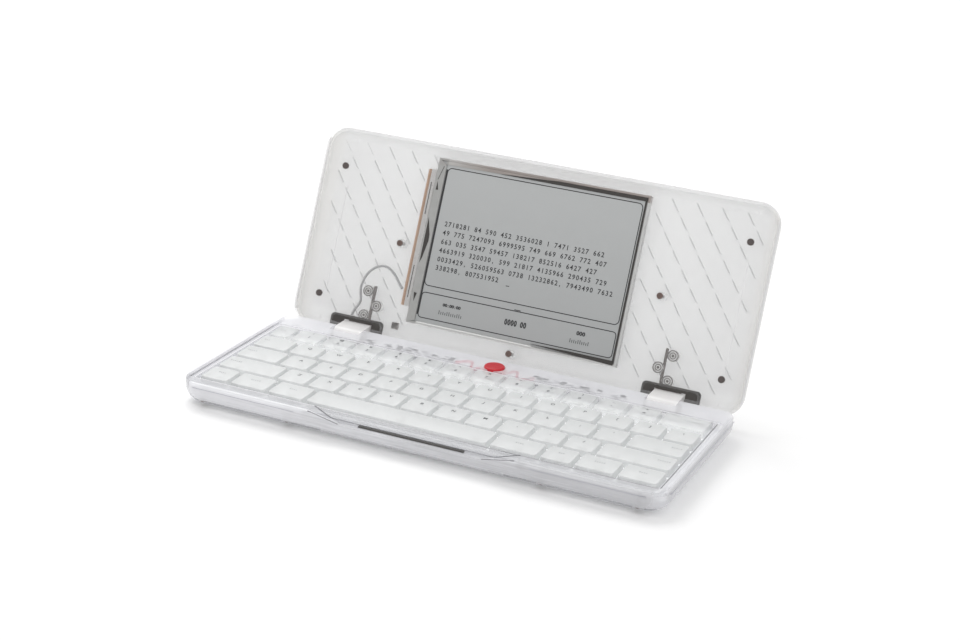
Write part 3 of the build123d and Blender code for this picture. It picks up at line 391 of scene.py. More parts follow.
def silver_frame():
    """Satin metal edge of the display: grey at its left with painted shade, brown-grey along its top with a
    painted reflection, silver below.
    """
    finish = Finish("silver display frame", FRAME_SILVER, 0.34, Metallic=0.5)
    where = finish.in_lid()
    x, y, _ = finish.axes(where)
    wear = finish.noise(where, 0.25, 4.0, 0.6)
    fine = finish.noise(where, 4.0, 2.0)
    streaks = finish.stretched_noise(where, (0.05, 1.2, 1.0))
    silver = finish.mix(wear, shade_of(FRAME_SILVER, 0.88), shade_of(FRAME_SILVER, 1.06))
    brown = finish.mix(streaks, shade_of(FRAME_REFLECTION_BROWN, 0.72), shade_of(FRAME_REFLECTION_BROWN, 1.3))
    grey = finish.mix(wear, shade_of(FRAME_SHADE_GREY, 0.85), shade_of(FRAME_SHADE_GREY, 1.1))
    # painted reflection: a brown-grey band along the top; painted shade: a grey strip at the left
    top = (y > 110.9) * ((x + 75.0) / 40.0).clamp()
    finish.set("Base Color", finish.mix(top, finish.mix(x < -62.0, silver, grey), brown))
    finish.set("Roughness", 0.28 + wear * 0.12)
    finish.bump(fine + streaks * top, 0.08, 0.04)
    return finish.material


def painted_well_shade():
    """Grey line round the key well, with painted shade making it darker along the right side and the front."""
    finish = Finish("painted well shade", (0.3, 0.3, 0.31), 0.4)
    where = finish.in_base()
    x, y, _ = finish.axes(where)
    # painted shade: darker along the right side and the front
    painted_shade_right, front = x > 137.0, (y < -54.5) * ((x + 66.0) / 140.0).clamp()
    finish.set("Base Color", finish.mix(painted_shade_right.largest(front), (0.72, 0.72, 0.74), (0.20, 0.20, 0.21)))
    finish.set("Roughness", 0.35 + finish.noise(where, 1.0) * 0.1)
    return finish.material


# ---------------------------------------------------------------- mesh helpers
def piece(name, mesh_data, material, body):
    """Turn a bmesh into a piece of the machine that rides on a body."""
    mesh = bpy.data.meshes.new(name)
    bmesh.ops.recalc_face_normals(mesh_data, faces=mesh_data.faces[:])
    mesh_data.to_mesh(mesh)
    mesh_data.free()
    made = bpy.data.objects.new(name, mesh)
    bpy.context.scene.collection.objects.link(made)
    mesh.materials.append(material)
    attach(made, body)
    return made


def edges_of(verts):
    """The edges at some vertices, each once and in the same order on every run."""
    return list(dict.fromkeys(edge for vert in verts for edge in vert.link_edges))


def add_block(mesh_data, place, centre, size, turn=0.0, bevel=0.0):
    """A block in millimetres, turned about its upright axis, with its edges broken."""
    matrix = place @ Matrix.Translation(centre) @ Matrix.Rotation(turn, 4, "Z") @ Matrix.Diagonal((*size, 1))
    made = bmesh.ops.create_cube(mesh_data, size=1.0, matrix=matrix)
    if bevel:
        bmesh.ops.bevel(mesh_data, geom=edges_of(made["verts"]), offset=bevel * MM, segments=2, profile=0.5,
                        affect="EDGES", material=-1)


def add_rod(mesh_data, place, first, last, thick):
    """A thin square rod between two points, mm."""
    first, last = Vector(first), Vector(last)
    along = last - first
    turn = along.to_track_quat("X", "Z").to_matrix().to_4x4()
    size = Matrix.Diagonal((along.length, thick, thick, 1.0))
    bmesh.ops.create_cube(mesh_data, size=1.0, matrix=place @ Matrix.Translation((first + last) / 2) @ turn @ size)


def rounded_ring(mesh_data, place, low, high, corner, line, z, height, steps=6):
    """A thin printed line round a rectangle with rounded corners."""
    rings = []
    for inset in (0.0, line):
        radius = max(corner - inset, 0.01)
        ring = []
        for index, (sx, sy) in enumerate(((1, 1), (-1, 1), (-1, -1), (1, -1))):
            cx = (high[0] if sx > 0 else low[0]) - sx * corner
            cy = (high[1] if sy > 0 else low[1]) - sy * corner
            for step in range(steps + 1):
                angle = math.pi / 2 * (index + step / steps)
                point = Vector((cx + radius * math.cos(angle), cy + radius * math.sin(angle), z))
                ring.append(mesh_data.verts.new(place @ point))
        rings.append([mesh_data.edges.new((ring[i], ring[(i + 1) % len(ring)])) for i in range(len(ring))])
    bridged = bmesh.ops.bridge_loops(mesh_data, edges=rings[0] + rings[1])
    raise_faces(mesh_data, bridged["faces"], place, height)


def raise_faces(mesh_data, faces, place, height):
    """Give flat printing a thickness towards the viewer."""
    lifted = bmesh.ops.extrude_face_region(mesh_data, geom=faces, use_keep_orig=True)
    verts = [item for item in lifted["geom"] if isinstance(item, bmesh.types.BMVert)]
    lift = place.to_3x3() @ Vector((0, 0, height))
    bmesh.ops.translate(mesh_data, verts=verts, vec=lift)


GLYPHS = {}


def glyph(character):
    """One character as a thin solid, one unit high, made once."""
    if character not in GLYPHS:
        curve = bpy.data.curves.new("glyph", "FONT")
        curve.body, curve.size, curve.resolution_u = character, 1.0, 2
        curve.align_x, curve.align_y, curve.extrude, curve.offset = "CENTER", "CENTER", 0.5, 0.018
        holder = bpy.data.objects.new("glyph", curve)
        GLYPHS[character] = bpy.data.meshes.new_from_object(holder)
        bpy.data.objects.remove(holder)
    return GLYPHS[character]


def add_glyph(mesh_data, character, place, x, y, z, size, weight=1.0):
    """Print one character, millimetres, its middle at x and y."""
    before = len(mesh_data.verts)
    mesh_data.from_mesh(glyph(character))
    mesh_data.verts.ensure_lookup_table()
    matrix = (place @ Matrix.Translation((x, y, z + PRINT_HEIGHT / 2))
              @ Matrix.Diagonal((size * weight, size, PRINT_HEIGHT, 1)))
    bmesh.ops.transform(mesh_data, matrix=matrix, verts=mesh_data.verts[before:])


def add_word(mesh_data, place, x, y, z, strokes, height=1.2, stroke=0.62, pitch=1.25):
    """A word drawn only as a run of short strokes, centred on x."""
    for index in range(strokes):
        tall = height * (1.0, 0.7, 0.8, 0.65, 0.95)[index % 5]
        across = x + (index - (strokes - 1) / 2) * pitch
        middle = (across, y + (tall - height) / 2, z + PRINT_HEIGHT / 2)
        add_block(mesh_data, place, middle, (stroke, tall, PRINT_HEIGHT))


# ---------------------------------------------------------------- settings
class ShellSettings(bpy.types.PropertyGroup):
    """Colours and clearness of the housing."""
    base_tint: bpy.props.FloatVectorProperty(
        name="Base tint", description="Colour of the clear base", subtype="COLOR", size=3,
        default=(0.90, 0.90, 0.93))
    lid_tint: bpy.props.FloatVectorProperty(
        name="Lid tint", description="Colour of the clear lid", subtype="COLOR", size=3,
        default=(0.86, 0.86, 0.86))
    base_clearness: bpy.props.FloatProperty(
        name="Base clearness", description="How much of the inside shows through the base",
        subtype="FACTOR", default=0.55, min=0, max=1)
    deck_clearness: bpy.props.FloatProperty(
        name="Deck clearness", description="How much of the inside shows through the deck",
        subtype="FACTOR", default=0.76, min=0, max=1)
    lid_clearness: bpy.props.FloatProperty(
        name="Lid clearness", description="How much shows through the lid",
        subtype="FACTOR", default=0.55, min=0, max=1)
    button_red: bpy.props.FloatVectorProperty(
        name="Button red", description="Colour of the power button", subtype="COLOR", size=3,
        default=(0.62, 0.006, 0.020))


class PrintSettings(bpy.types.PropertyGroup):
    """Marks on the keys and the screen."""
    key_mark: bpy.props.FloatProperty(
        name="Key mark height", description="Height of a letter on a key, mm", default=3.3, min=0.5, max=8)
    letter_pitch: bpy.props.FloatProperty(
        name="Screen letter pitch", description="Step between characters on the screen, mm",
        default=2.435, min=1, max=6)
    letter_size: bpy.props.FloatProperty(
        name="Screen letter size", description="Type size on the screen, mm", default=4.1, min=1, max=8)


class StudioSettings(bpy.types.PropertyGroup):
    """The floor, lights and camera."""
    floor_white: bpy.props.FloatProperty(
        name="Floor white", description="Brightness of the floor", subtype="FACTOR", default=0.93, min=0, max=1)
    sky: bpy.props.FloatProperty(
        name="Sky", description="Strength of the even white light", default=0.82, min=0, max=5)
    lens: bpy.props.FloatProperty(
        name="Lens", description="Focal length of the camera, mm", default=73.43, min=10, max=300)


# ---------------------------------------------------------------- operators
def dress(material, *nodes):
    """Give CAD pieces their finish."""
    for name in nodes:
        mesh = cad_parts[name].data
        mesh.materials.clear()
        mesh.materials.append(material)


class DressHousing(bpy.types.Operator):
    """Finish the clear housing"""
    bl_idname = "writer.dress_housing"
    bl_label = "Housing"

    def execute(self, context):
        shell = context.scene.writer_shell
        tint = tuple(shell.base_tint)
        dress(clear_plastic("clear base plastic", tint, shell.base_clearness, wall_shade=0.80), "bottom_cover")
        dress(clear_plastic("clear deck plastic", tint, shell.deck_clearness, wall_shade=0.88, rear_painted_light=0.10),
              "top_deck")
        dress(lid_plastic("clear lid plastic", tuple(shell.lid_tint), shell.lid_clearness), "lid_back_cover")
        dress(clear_plastic("clear bezel plastic", tuple(shell.lid_tint), 0.92, 0.1, 0.03), "lid_bezel")
        dress(moulded("hinge plastic", (0.92, 0.905, 0.90), 0.25), "hinge_arm_left", "hinge_arm_right")
        return {"FINISHED"}


class DressKeys(bpy.types.Operator):
    """Finish the key caps and what lies under them, which glows with painted light"""
    bl_idname = "writer.dress_keys"
    bl_label = "Keys"

    def execute(self, context):
        dress(milky_keys(), *sorted({name for row in ROW_BODIES for name in row}))
        dress(moulded("guide plastic", (0.88, 0.88, 0.88), 0.4, **UNDER_KEY_PAINTED_LIGHT), "key_guides")
        dress(moulded("silicone sheet", (0.84, 0.84, 0.85), 0.55, **UNDER_KEY_PAINTED_LIGHT), "dome_sheet")
        dress(moulded("plate paint", (0.87, 0.87, 0.88), 0.5, **UNDER_KEY_PAINTED_LIGHT), "keyboard_plate")
        return {"FINISHED"}


class DressInside(bpy.types.Operator):
    """Finish the boards, cell, socket and magnets"""
    bl_idname = "writer.dress_inside"
    bl_label = "Inside"

    def execute(self, context):
        dress(moulded("white board", (0.70, 0.70, 0.70), 0.45), "main_board", "usb_board")
        dress(moulded("chip resin", (0.10, 0.10, 0.115), 0.35), "board_chips", "power_switch")
        dress(brushed("cell foil", (0.70, 0.71, 0.73), 0.4, (1.5, 1.5, 1.5)), "battery")
        dress(brushed("socket steel", (0.62, 0.62, 0.62), 0.3), "usb_c_socket")
        dress(brushed("magnet nickel", (0.33, 0.31, 0.30), 0.4), "catch_magnets", "lid_magnet")
        return {"FINISHED"}


class DressHinges(bpy.types.Operator):
    """Finish the hinge metal, the slot liners and the screws"""
    bl_idname = "writer.dress_hinges"
    bl_label = "Hinges"

    def execute(self, context):
        dress(bracket_steel(), "hinge_lid_bracket_left", "hinge_lid_bracket_right")
        dress(brushed("hinge steel", (0.30, 0.29, 0.28), 0.35),
              "hinge_base_bracket_left", "hinge_base_bracket_right", "hinge_pins")
        dress(moulded("catch strip steel", (0.11, 0.105, 0.10), 0.4, Metallic=0.3), "catch_strip")
        dress(moulded("slot liner black", (0.060, 0.054, 0.050), 0.5), "hinge_slot_liners")
        dress(brushed("screw steel", (0.20, 0.15, 0.135), 0.4, (2, 2, 2)), "lid_screws", "base_screws")
        dress(brushed("ear screw steel", (0.72, 0.71, 0.70), 0.35, (2, 2, 2)), "bracket_screws")
        dress(moulded("bumper rubber", (0.10, 0.082, 0.078), 0.6), "lid_bumpers", "rubber_feet")
        return {"FINISHED"}


class DressScreen(bpy.types.Operator):
    """Finish the display and its board"""
    bl_idname = "writer.dress_screen"
    bl_label = "Screen"

    def execute(self, context):
        dress(paper_screen(), "eink_panel")
        dress(silver_frame(), "display_frame")
        dress(brushed("tray aluminium", (0.78, 0.78, 0.79), 0.45), "display_tray")
        dress(driver_board_finish(), "driver_board")
        return {"FINISHED"}


class DressButton(bpy.types.Operator):
    """Finish the power button and its spring arms"""
    bl_idname = "writer.dress_button"
    bl_label = "Power button"

    def execute(self, context):
        red = tuple(context.scene.writer_shell.button_red)
        dress(moulded("button red", red, 0.3, 3.0, 0.1, 0.1, Coat_Weight=0.3), "power_button")
        dress(clear_plastic("spring pink", (0.86, 0.36, 0.42), 0.3), "button_springs")
        return {"FINISHED"}


class PrintKeys(bpy.types.Operator):
    """Print the marks on the keys"""
    bl_idname = "writer.print_keys"
    bl_label = "Key marks"

    LETTER_UP, SECOND_UP, WORD_UP = 2.8, 5.4, 2.0       # marks above the middle of their key, mm
    STROKE_PITCH, WORD_MARGIN, KEY_GAP = 1.25, 1.2, 4.6

    def execute(self, context):
        size = context.scene.writer_print.key_mark
        ink = moulded("key ink", (0.085, 0.09, 0.095), 0.5, 8.0)
        pale = moulded("pale key ink", (0.33, 0.34, 0.35), 0.5, 8.0)
        marks = {}
        for row, (keys, bodies) in enumerate(zip(KEY_ROWS, ROW_BODIES)):
            left = -sum(float(key.split(":")[0]) for key in keys.split(" ")) * KEY_PITCH / 2
            y = KEY_FRONT + (row + 0.5) * KEY_PITCH
            for key, body in zip(keys.split(" "), bodies):
                units, mark, *second = key.split(":", 2)
                x = left + float(units) * KEY_PITCH / 2
                left += float(units) * KEY_PITCH
                if not mark:
                    continue
                mesh_data = marks.setdefault(body, bmesh.new())
                if mark.startswith("#"):
                    self.word(mesh_data, x, y, row, float(units), int(mark[1:]))
                    continue
                add_glyph(mesh_data, mark, BASE, x, y + (0.0 if second else self.LETTER_UP), KEY_FACE, size)
                if second:
                    add_glyph(mesh_data, second[0], BASE, x, y + self.SECOND_UP, KEY_FACE, size * 0.9)
        for body, mesh_data in marks.items():
            ganged = body.startswith("keys_")
            piece("marks_" + body, mesh_data, ink if ganged else pale, body)
        return {"FINISHED"}

    def word(self, mesh_data, x, y, row, units, strokes):
        """A word mark towards the outer side of its key."""
        half = (units * KEY_PITCH - self.KEY_GAP) / 2
        reach = half - strokes * self.STROKE_PITCH / 2 - self.WORD_MARGIN
        side = 0.0 if row == 0 else (-1.0 if x < 0 else 1.0)
        across = x + side * max(reach, 0.0)
        add_word(mesh_data, BASE, across, y + self.WORD_UP, KEY_FACE, strokes, pitch=self.STROKE_PITCH)


class PrintScreen(bpy.types.Operator):
    """Print the page and its status line on the screen"""
    bl_idname = "writer.print_screen"
    bl_label = "Screen page"

    LINES = (
        (76.6, "2718281 84 590 452 3536028 1 7471 3527 662"),
        (71.3, "49 775 7247093 6999595 749 669 6762 772 407"),
        (65.9, "663 035 3547 59457 138217 852516 6427 427"),
        (60.7, "4663919 320030, 599 21817 4135966 290435 729"),
        (55.3, "0033429, 526059563 0738 13232862, 7943490 7632"),
        (50.1, "338298, 807531952"),
    )
    START_X = -57.1
    TIME, WORD_COUNT, LETTER_COUNT = "00:00:00", "0000 00", "000"
    PAGE_BOX = ((-62.1, 38.5), (62.0, 110.1))           # printed frames, mm
    STATUS_BOX = ((-62.1, 19.1), (62.0, 34.8))
    RULE = 0.55

    def execute(self, context):
        settings = context.scene.writer_print
        ink = moulded("screen ink", (0.035, 0.035, 0.037), 0.5, 8.0)
        pale = moulded("pale screen ink", (0.15, 0.155, 0.155), 0.5, 8.0)
        face = PANEL_FACE
        page = bmesh.new()
        for y, line in self.LINES:
            for index, character in enumerate(line):
                if character != " ":
                    x = self.START_X + (index + 0.5) * settings.letter_pitch
                    add_glyph(page, character, LID, x, y, face, settings.letter_size, 0.92)
        self.rule(page, (-9.6, 47.9), (2.2, 0.45))      # the cursor
        self.bold_line(page, self.TIME, -46.6, 29.2, 1.45, 2.6, 1.1)
        self.bold_line(page, self.WORD_COUNT, -6.0, 27.1, 2.0, 4.9, 0.7)
        self.bold_line(page, self.LETTER_COUNT, 39.0, 29.4, 1.8, 3.4, 1.0)
        piece("screen_page", page, ink, "lid")
        lines = bmesh.new()
        rounded_ring(lines, LID, *self.PAGE_BOX, 3.0, self.RULE, face, PRINT_HEIGHT)
        rounded_ring(lines, LID, *self.STATUS_BOX, 2.4, self.RULE, face, PRINT_HEIGHT)
        add_block(lines, LID, (-62.3, 64.8, face + 0.06), (1.0, 88.0, 0.05))
        self.rule(lines, (-0.3, 35.2), (4.0, 0.5))
        piece("screen_rules", lines, ink, "lid")
        words = bmesh.new()
        add_word(words, LID, -41.6, 24.5, face, 12, 2.4, 0.55, 1.3)
        add_word(words, LID, 40.7, 24.6, face, 10, 2.4, 0.55, 1.25)
        piece("screen_words", words, pale, "lid")
        return {"FINISHED"}

    def rule(self, mesh_data, middle, size):
        """A printed bar."""
        add_block(mesh_data, LID, (*middle, PANEL_FACE + PRINT_HEIGHT / 2), (*size, PRINT_HEIGHT))

    def bold_line(self, mesh_data, text, x, y, pitch, size, weight):
        """Heavier characters, each made of two that overlap at slightly different heights."""
        for index, character in enumerate(text):
            for shift in (-0.13, 0.13) if character != " " else ():
                across, face = x + index * pitch + shift, PANEL_FACE + 0.02 + shift * 0.05
                add_glyph(mesh_data, character, LID, across, y, face, size, weight)


class AddEdgeReflections(bpy.types.Operator):
    """Add the dark strips and triangles that are painted reflections at the panel's edges, the dark slots in the
    narrow board, and the bevelled strips that edge the panel
    """
    bl_idname = "writer.add_gasket"
    bl_label = "Painted edge reflections and strips"

    # painted reflections, dark triangles on the left strip: corners as (across, up) in the lid's frame, mm
    REFLECTION_TRIANGLES = (
        ((-67.6, 51.0), (-66.4, 54.6), (-64.6, 64.9), (-64.8, 68.6), (-67.5, 79.0)),
        ((-66.9, 95.6), (-65.3, 95.8), (-66.7, 101.0)),
        ((-67.0, 33.3), (-66.2, 27.7), (-65.0, 33.0)),
        ((-66.9, 102.0), (-64.5, 110.4), (-64.2, 110.2), (-66.6, 101.8)),
    )

    def execute(self, context):
        black = moulded("reflection and slot black", (0.045, 0.04, 0.037), 0.4)
        reflections_and_slots = bmesh.new()
        low, top = PANEL_FACE + 0.05, FRAME_FACE + 0.10
        # painted reflections: dark strips along the panel's top and right edge and a dark wedge at its foot
        self.plate(reflections_and_slots, ((-28.0, 111.7), (63.8, 111.5), (63.8, 113.6), (10.0, 113.6)), low, 0.5)
        self.plate(reflections_and_slots, ((62.6, 17.0), (63.6, 17.0), (63.6, 112.0), (62.6, 112.0)), low, 0.3)
        self.plate(reflections_and_slots, ((12.0, 17.7), (63.6, 15.4), (63.6, 18.1), (36.0, 18.2)), low, 0.75)
        for corners in self.REFLECTION_TRIANGLES:
            self.plate(reflections_and_slots, corners, top, 0.05)
        for y in (39.194, 90.007):
            add_block(reflections_and_slots, LID, (-71.0, y, BEZEL_FACE - 1.62), (0.68, 19.6, 0.1))
        piece("screen_reflections_and_slots", reflections_and_slots, black, "lid")
        # the bevelled strips carry the frame's painted shade and painted reflection
        strips = bmesh.new()
        self.plate(strips, ((-68.1, 15.2), (-63.0, 17.0), (-63.0, 111.4), (-68.1, 114.6)), low, 0.64)
        self.plate(strips, ((-63.0, 111.6), (-28.0, 111.9), (10.0, 113.7), (-63.0, 113.7)), low, 0.6)
        piece("screen_edge_strips", strips, silver_frame(), "lid")
        return {"FINISHED"}

    def plate(self, mesh_data, corners, z, height):
        """A thin flat plate with the given outline."""
        verts = [mesh_data.verts.new(LID @ Vector((x, y, z))) for x, y in corners]
        raise_faces(mesh_data, [mesh_data.faces.new(verts)], LID, height)


class AddBoardEdge(bpy.types.Operator):
    """Add the copper edge of the display's narrow board"""
    bl_idname = "writer.add_board_edge"
    bl_label = "Board edge"

    def execute(self, context):
        copper = brushed("board copper", (0.52, 0.31, 0.18), 0.4, (4.0, 0.2, 1.0))
        edge = bmesh.new()
        add_block(edge, LID, (-73.75, 65.8, BEZEL_FACE - 1.9), (1.1, 83.0, 0.5), bevel=0.1)
        piece("board_copper_edge", edge, copper, "lid")
        return {"FINISHED"}


class AddEarRings(bpy.types.Operator):
    """Add the pressed rings round the six bracket screws"""
    bl_idname = "writer.add_ear_rings"
    bl_label = "Ear rings"

    RINGS = ((3.3, 0.5), (1.9, 0.4), (0.75, 0.75))      # outer radius and line, mm
    POINTS = 32

    def execute(self, context):
        dark = moulded("pressed ring steel", (0.10, 0.088, 0.082), 0.4, Metallic=0.3)
        rings = bmesh.new()
        for side in (-1, 1):
            for x, y in EARS:
                for radius, line in self.RINGS:
                    self.ring(rings, side * x, y, radius, line)
        piece("ear_rings", rings, dark, "lid")
        return {"FINISHED"}

    def ring(self, mesh_data, x, y, radius, line):
        """A flat ring, or a disc where the line is as wide as the radius."""
        edges = []
        for size in (radius, max(radius - line, 0.02)):
            made = bmesh.ops.create_circle(mesh_data, segments=self.POINTS, radius=size,
                                           matrix=LID @ Matrix.Translation((x, y, EAR_FACE)))
            edges += edges_of(made["verts"])
        bridged = bmesh.ops.bridge_loops(mesh_data, edges=edges)
        raise_faces(mesh_data, bridged["faces"], LID, 0.12)


class AddWellLine(bpy.types.Operator):
    """Add the grey line of painted shade round the key well, the moulding lines of the walls with painted shadows
    by the scoop, and the scoop's edges in painted shade
    """
    bl_idname = "writer.add_well_line"
    bl_label = "Painted well shade and mould lines"

    WALL_RIBS = (-83.0, -76.0, -31.0, 75.7, 88.6)       # across the front wall, mm
    # painted shadows: dark strips at the scoop's lower ends, across the base, mm
    SCOOP_SHADOW_STRIPS = (-55.0, 54.0)
    SEAM_LINE = (0.24, 0.3)                             # depth and height, mm

    def execute(self, context):
        shade_line = bmesh.new()
        rounded_ring(shade_line, BASE, (-137.6, -55.2), (137.6, 42.3), 2.6, 0.75, WELL_LINE_Z, 0.08)
        piece("painted_well_shade", shade_line, painted_well_shade(), "base")
        self.mould_lines()
        self.scoop_edges()
        return {"FINISHED"}

    def mould_lines(self):
        """Upright lines in the front wall, the painted shadow strips by the scoop and the seam."""
        lines = bmesh.new()
        for x in self.WALL_RIBS:
            add_block(lines, BASE, (x, -61.7, 7.6), (0.35, 0.35, 6.6), bevel=0.05)
        # painted shadows by the scoop
        for x in self.SCOOP_SHADOW_STRIPS:
            add_block(lines, BASE, (x, -58.9, 11.6), (7.0, 0.5, 0.3), bevel=0.05)
        depth, height = self.SEAM_LINE
        for side in (-1, 1):
            add_block(lines, BASE, (side * 101.0, BASE_FRONT_Y, SEAM_Z), (64.0, depth, height), bevel=0.05)
        for side in (1, -1):
            add_block(lines, BASE, (side * BASE_HALF_X, 0.0, SEAM_Z), (depth, 108.0, height), bevel=0.05)
        piece("mould_lines", lines, moulded("mould line and shadow grey", (0.45, 0.45, 0.50), 0.4), "base")

    def scoop_edges(self):
        """Dark lines of painted shade where the thumb scoop's slopes meet, and a painted shadow across under its
        lip.
        """
        edges = bmesh.new()
        step_z = SEAM_Z + 0.05
        for side in (-1, 1):
            add_rod(edges, BASE, (side * SCOOP_TOP_X, SCOOP_REAR_Y, BASE_TOP - 0.05),
                    (side * SCOOP_STEP_X, SCOOP_STEP_Y, step_z), 0.4)
            add_rod(edges, BASE, (side * SCOOP_TOP_X, SCOOP_FRONT_Y, BASE_TOP - 0.1),
                    (side * SCOOP_FLOOR_X, SCOOP_FRONT_Y, 10.3), 0.45)
        # painted shadow across, under the scoop's lip
        add_rod(edges, BASE, (-SCOOP_STEP_X, SCOOP_STEP_Y, step_z), (SCOOP_STEP_X, SCOOP_STEP_Y, step_z), 0.25)
        piece("scoop_edges", edges, moulded("scoop edge grey", (0.22, 0.22, 0.235), 0.4), "base")


class AddBoardParts(bpy.types.Operator):
    """Add the small parts and traces that show through the deck behind the keys"""
    bl_idname = "writer.add_board_parts"
    bl_label = "Parts behind the keys"

    # each cluster: its middle across the base, mm, and its spread
    CLUSTERS = ((-80.0, 3.5), (-64.5, 4.0), (-57.0, 3.0), (-51.0, 3.5), (-40.0, 4.5), (-29.0, 3.0),
                (27.0, 3.5), (35.0, 4.0), (46.5, 4.0), (56.0, 3.0), (61.5, 4.5), (77.0, 2.5))
    STRIP_Y, STRIP_HALF, HEIGHT = 47.2, 2.4, 13.86       # just under the deck's face, mm
    PART, TRACE, EACH = (3.2, 2.3, 0.2), (4.4, 1.1, 0.2), 5

    def execute(self, context):
        dark = moulded("part grey", (0.13, 0.13, 0.14), 0.4)
        mid = moulded("trace grey", (0.40, 0.40, 0.42), 0.4)
        parts, traces = bmesh.new(), bmesh.new()
        for index, (middle, spread) in enumerate(self.CLUSTERS):
            for step in range(self.EACH):
                x = middle + spread * math.sin(2.4 * step + index)
                y = self.STRIP_Y + self.STRIP_HALF * math.sin(1.7 * step + 2.3 * index)
                if (step + index) % 3 == 0:
                    turn = 0.35 * math.sin(index + step)
                    add_block(parts, BASE, (x, y, self.HEIGHT), self.PART, turn, bevel=0.06)
                else:
                    turn = 0.5 * math.sin(3 * index + step)
                    add_block(traces, BASE, (x, y, self.HEIGHT), self.TRACE, turn, bevel=0.05)
        piece("small_parts", parts, dark, "base")
        piece("fine_traces", traces, mid, "base")
        return {"FINISHED"}


class AddRibLines(bpy.types.Operator):
    """Add the dark dashes where the slanting ribs meet the back cover"""
    bl_idname = "writer.add_rib_lines"
    bl_label = "Rib lines"

    # dashes run down rows; each row steps along the slope, mm
    PITCH_X, PITCH_Y, SLOPE, DASH = 15.1, 9.75, 1.337, 7.1
    FIRST_X, FIRST_Y = 75.8, 116.4
    DRAWN = 0.88                        # share of a dash that is drawn
    LOW_Y, HIGH_Y, HALF_X = 9.4, 114.5, 134.3

    def execute(self, context):
        grey = moulded("rib shadow", (0.34, 0.34, 0.35), 0.5, 5.0)
        lines = bmesh.new()
        slant = math.atan(1 / self.SLOPE)
        length = self.DASH * math.sqrt(1 + 1 / self.SLOPE ** 2) * self.DRAWN
        for row in range(14):
            down = row * self.PITCH_Y + self.DASH / 2
            y = self.FIRST_Y - down
            for column in range(-20, 12):
                x = self.FIRST_X + column * self.PITCH_X + down / self.SLOPE
                if self.on_lid(x, y):
                    add_block(lines, LID, (x, y, LID_INNER_FLOOR + 0.68), (0.26, length, 0.16), slant)
        piece("lid_rib_lines", lines, grey, "lid")
        return {"FINISHED"}

    def on_lid(self, x, y):
        """Whether a dash lies on the lid, clear of the display and of the rounded left corner."""
        on_display = -72.2 < x < 67.4 and y > 11.9
        in_corner = x < -112.0 and y > 106.0
        inside = abs(x) < self.HALF_X and self.LOW_Y < y < self.HIGH_Y
        return inside and not on_display and not in_corner


class AddLead(bpy.types.Operator):
    """Replace the grey lead in the lid with a smooth one"""
    bl_idname = "writer.add_lead"
    bl_label = "Display lead"

    POINTS = ((-104.9, 11.7), (-104.6, 14.6), (-102.0, 18.6), (-100.9, 22.0), (-102.6, 26.4),
              (-103.0, 31.4), (-100.6, 38.6), (-95.4, 43.6), (-89.2, 45.2), (-83.4, 42.0), (-79.4, 37.4),
              (-76.0, 33.6))
    DEPTH = BEZEL_FACE - 2.75
    RADIUS = 0.75

    def execute(self, context):
        curve = bpy.data.curves.new("display lead path", "CURVE")
        curve.dimensions = "3D"
        curve.bevel_depth, curve.bevel_resolution, curve.use_fill_caps = self.RADIUS * MM, 4, True
        spline = curve.splines.new("NURBS")
        spline.points.add(len(self.POINTS) - 1)
        for point, (x, y) in zip(spline.points, self.POINTS):
            point.co = (*(LID @ Vector((x, y, self.DEPTH))), 1.0)
        spline.order_u, spline.use_endpoint_u, spline.resolution_u = 3, True, 8
        holder = bpy.data.objects.new("display lead path", curve)
        mesh_data = bmesh.new()
        mesh_data.from_mesh(bpy.data.meshes.new_from_object(holder))
        bmesh.ops.remove_doubles(mesh_data, verts=mesh_data.verts[:], dist=1e-6)
        bpy.data.objects.remove(holder)
        grey = moulded("lead grey", (0.40, 0.40, 0.41), 0.45)
        lead = piece("display_lead_smooth", mesh_data, grey, "lid")
        for polygon in lead.data.polygons:
            polygon.use_smooth = True
        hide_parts("display_lead")
        return {"FINISHED"}


def area_light(name, location, target, side, power):
    """A soft square lamp aimed at a point."""
    lamp = bpy.data.lights.new(name, "AREA")
    lamp.shape, lamp.size, lamp.energy = "SQUARE", side, power
    holder = bpy.data.objects.new(name, lamp)
    holder.location = location
    holder.rotation_euler = (Vector(target) - Vector(location)).to_track_quat("-Z", "Y").to_euler()
    bpy.context.scene.collection.objects.link(holder)


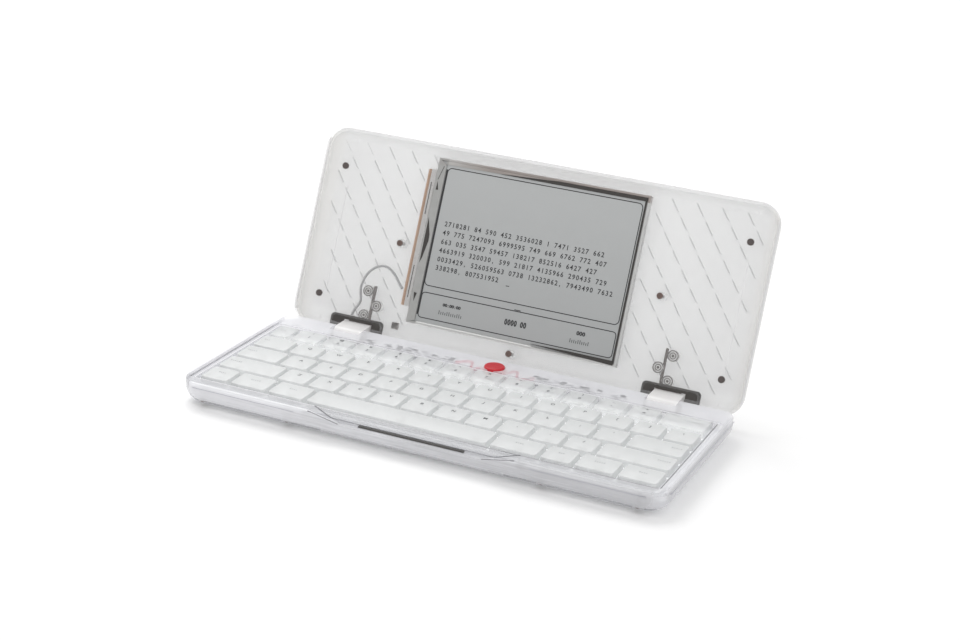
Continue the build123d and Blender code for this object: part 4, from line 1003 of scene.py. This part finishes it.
class SetStage(bpy.types.Operator):
    """Set the floor, the soft lights and the camera"""
    bl_idname = "writer.set_stage"
    bl_label = "Studio"

    CAMERA_PLACE = (0.3971, -0.9203, 0.4343)
    YAW, DOWN, ROLL = 22.83, 20.51, 3.75
    # name, place, target and side in metres, power in watts
    LAMPS = (("key", (-0.9, 0.75, 1.45), (0, 0, 0), 1.2, 14.0), ("fill", (1.2, -1.2, 1.2), (0, 0, 0.05), 1.2, 1.0))

    def execute(self, context):
        studio = context.scene.writer_studio
        self.floor(studio.floor_white)
        world = bpy.data.worlds.new("even white")
        world.use_nodes = True
        background = world.node_tree.nodes["Background"]
        background.inputs["Color"].default_value = (1.0, 1.0, 1.0, 1.0)
        background.inputs["Strength"].default_value = studio.sky
        context.scene.world = world
        for lamp in self.LAMPS:
            area_light(*lamp)
        context.scene.view_settings.view_transform = "Standard"
        context.scene.cycles.transparent_max_bounces = 32
        self.camera(studio.lens)
        return {"FINISHED"}

    def floor(self, white):
        """A wide pale floor, just under the feet."""
        mesh_data = bmesh.new()
        bmesh.ops.create_grid(mesh_data, x_segments=8, y_segments=8, size=6.0)
        mesh = bpy.data.meshes.new("floor")
        mesh_data.to_mesh(mesh)
        mesh_data.free()
        floor = bpy.data.objects.new("floor", mesh)
        bpy.context.scene.collection.objects.link(floor)
        floor.location.z = -0.0002
        paint = Finish("floor paint", (white, white, white), 0.9,
                       Emission_Color=(1.0, 1.0, 1.0), Emission_Strength=0.06)
        mesh.materials.append(paint.material)

    def camera(self, lens):
        """The camera, placed and turned about the three axes."""
        camera = bpy.data.cameras.new("camera")
        camera.lens, camera.sensor_width = lens, 36.0
        camera.clip_start, camera.clip_end = 0.05, 50.0
        holder = bpy.data.objects.new("camera", camera)
        turn = (Matrix.Rotation(math.radians(self.YAW), 4, "Z")
                @ Matrix.Rotation(math.radians(90 - self.DOWN), 4, "X")
                @ Matrix.Rotation(math.radians(self.ROLL), 4, "Z"))
        holder.matrix_world = Matrix.Translation(self.CAMERA_PLACE) @ turn
        bpy.context.scene.collection.objects.link(holder)
        bpy.context.scene.camera = holder


class WRITER_PT_pieces(bpy.types.Panel):
    """The pieces of the word processor"""
    bl_label = "Word processor"
    bl_idname = "WRITER_PT_pieces"
    bl_space_type = "VIEW_3D"
    bl_region_type = "UI"
    bl_category = "Word processor"

    def draw(self, context):
        for group in GROUPS:
            settings = getattr(context.scene, group)
            box = self.layout.box()
            for name in settings.__annotations__:
                box.prop(settings, name)
        for operator in OPERATORS:
            self.layout.operator(operator.bl_idname)


GROUPS = {"writer_shell": ShellSettings, "writer_print": PrintSettings, "writer_studio": StudioSettings}
OPERATORS = (SetStage, DressHousing, DressKeys, DressInside, DressHinges, DressScreen, DressButton, PrintKeys,
             PrintScreen, AddEdgeReflections, AddBoardEdge, AddEarRings, AddWellLine, AddBoardParts, AddRibLines, AddLead)


def register():
    for name, group in GROUPS.items():
        bpy.utils.register_class(group)
        setattr(bpy.types.Scene, name, bpy.props.PointerProperty(type=group))
    for made in OPERATORS + (WRITER_PT_pieces,):
        bpy.utils.register_class(made)


def unregister():
    for made in reversed(OPERATORS + (WRITER_PT_pieces,)):
        bpy.utils.unregister_class(made)
    for name, group in GROUPS.items():
        delattr(bpy.types.Scene, name)
        bpy.utils.unregister_class(group)


def main():
    """Register and make every piece in order."""
    register()
    for operator in OPERATORS:
        family, action = operator.bl_idname.split(".")
        getattr(getattr(bpy.ops, family), action)()


if __name__ == "__main__":
    main()
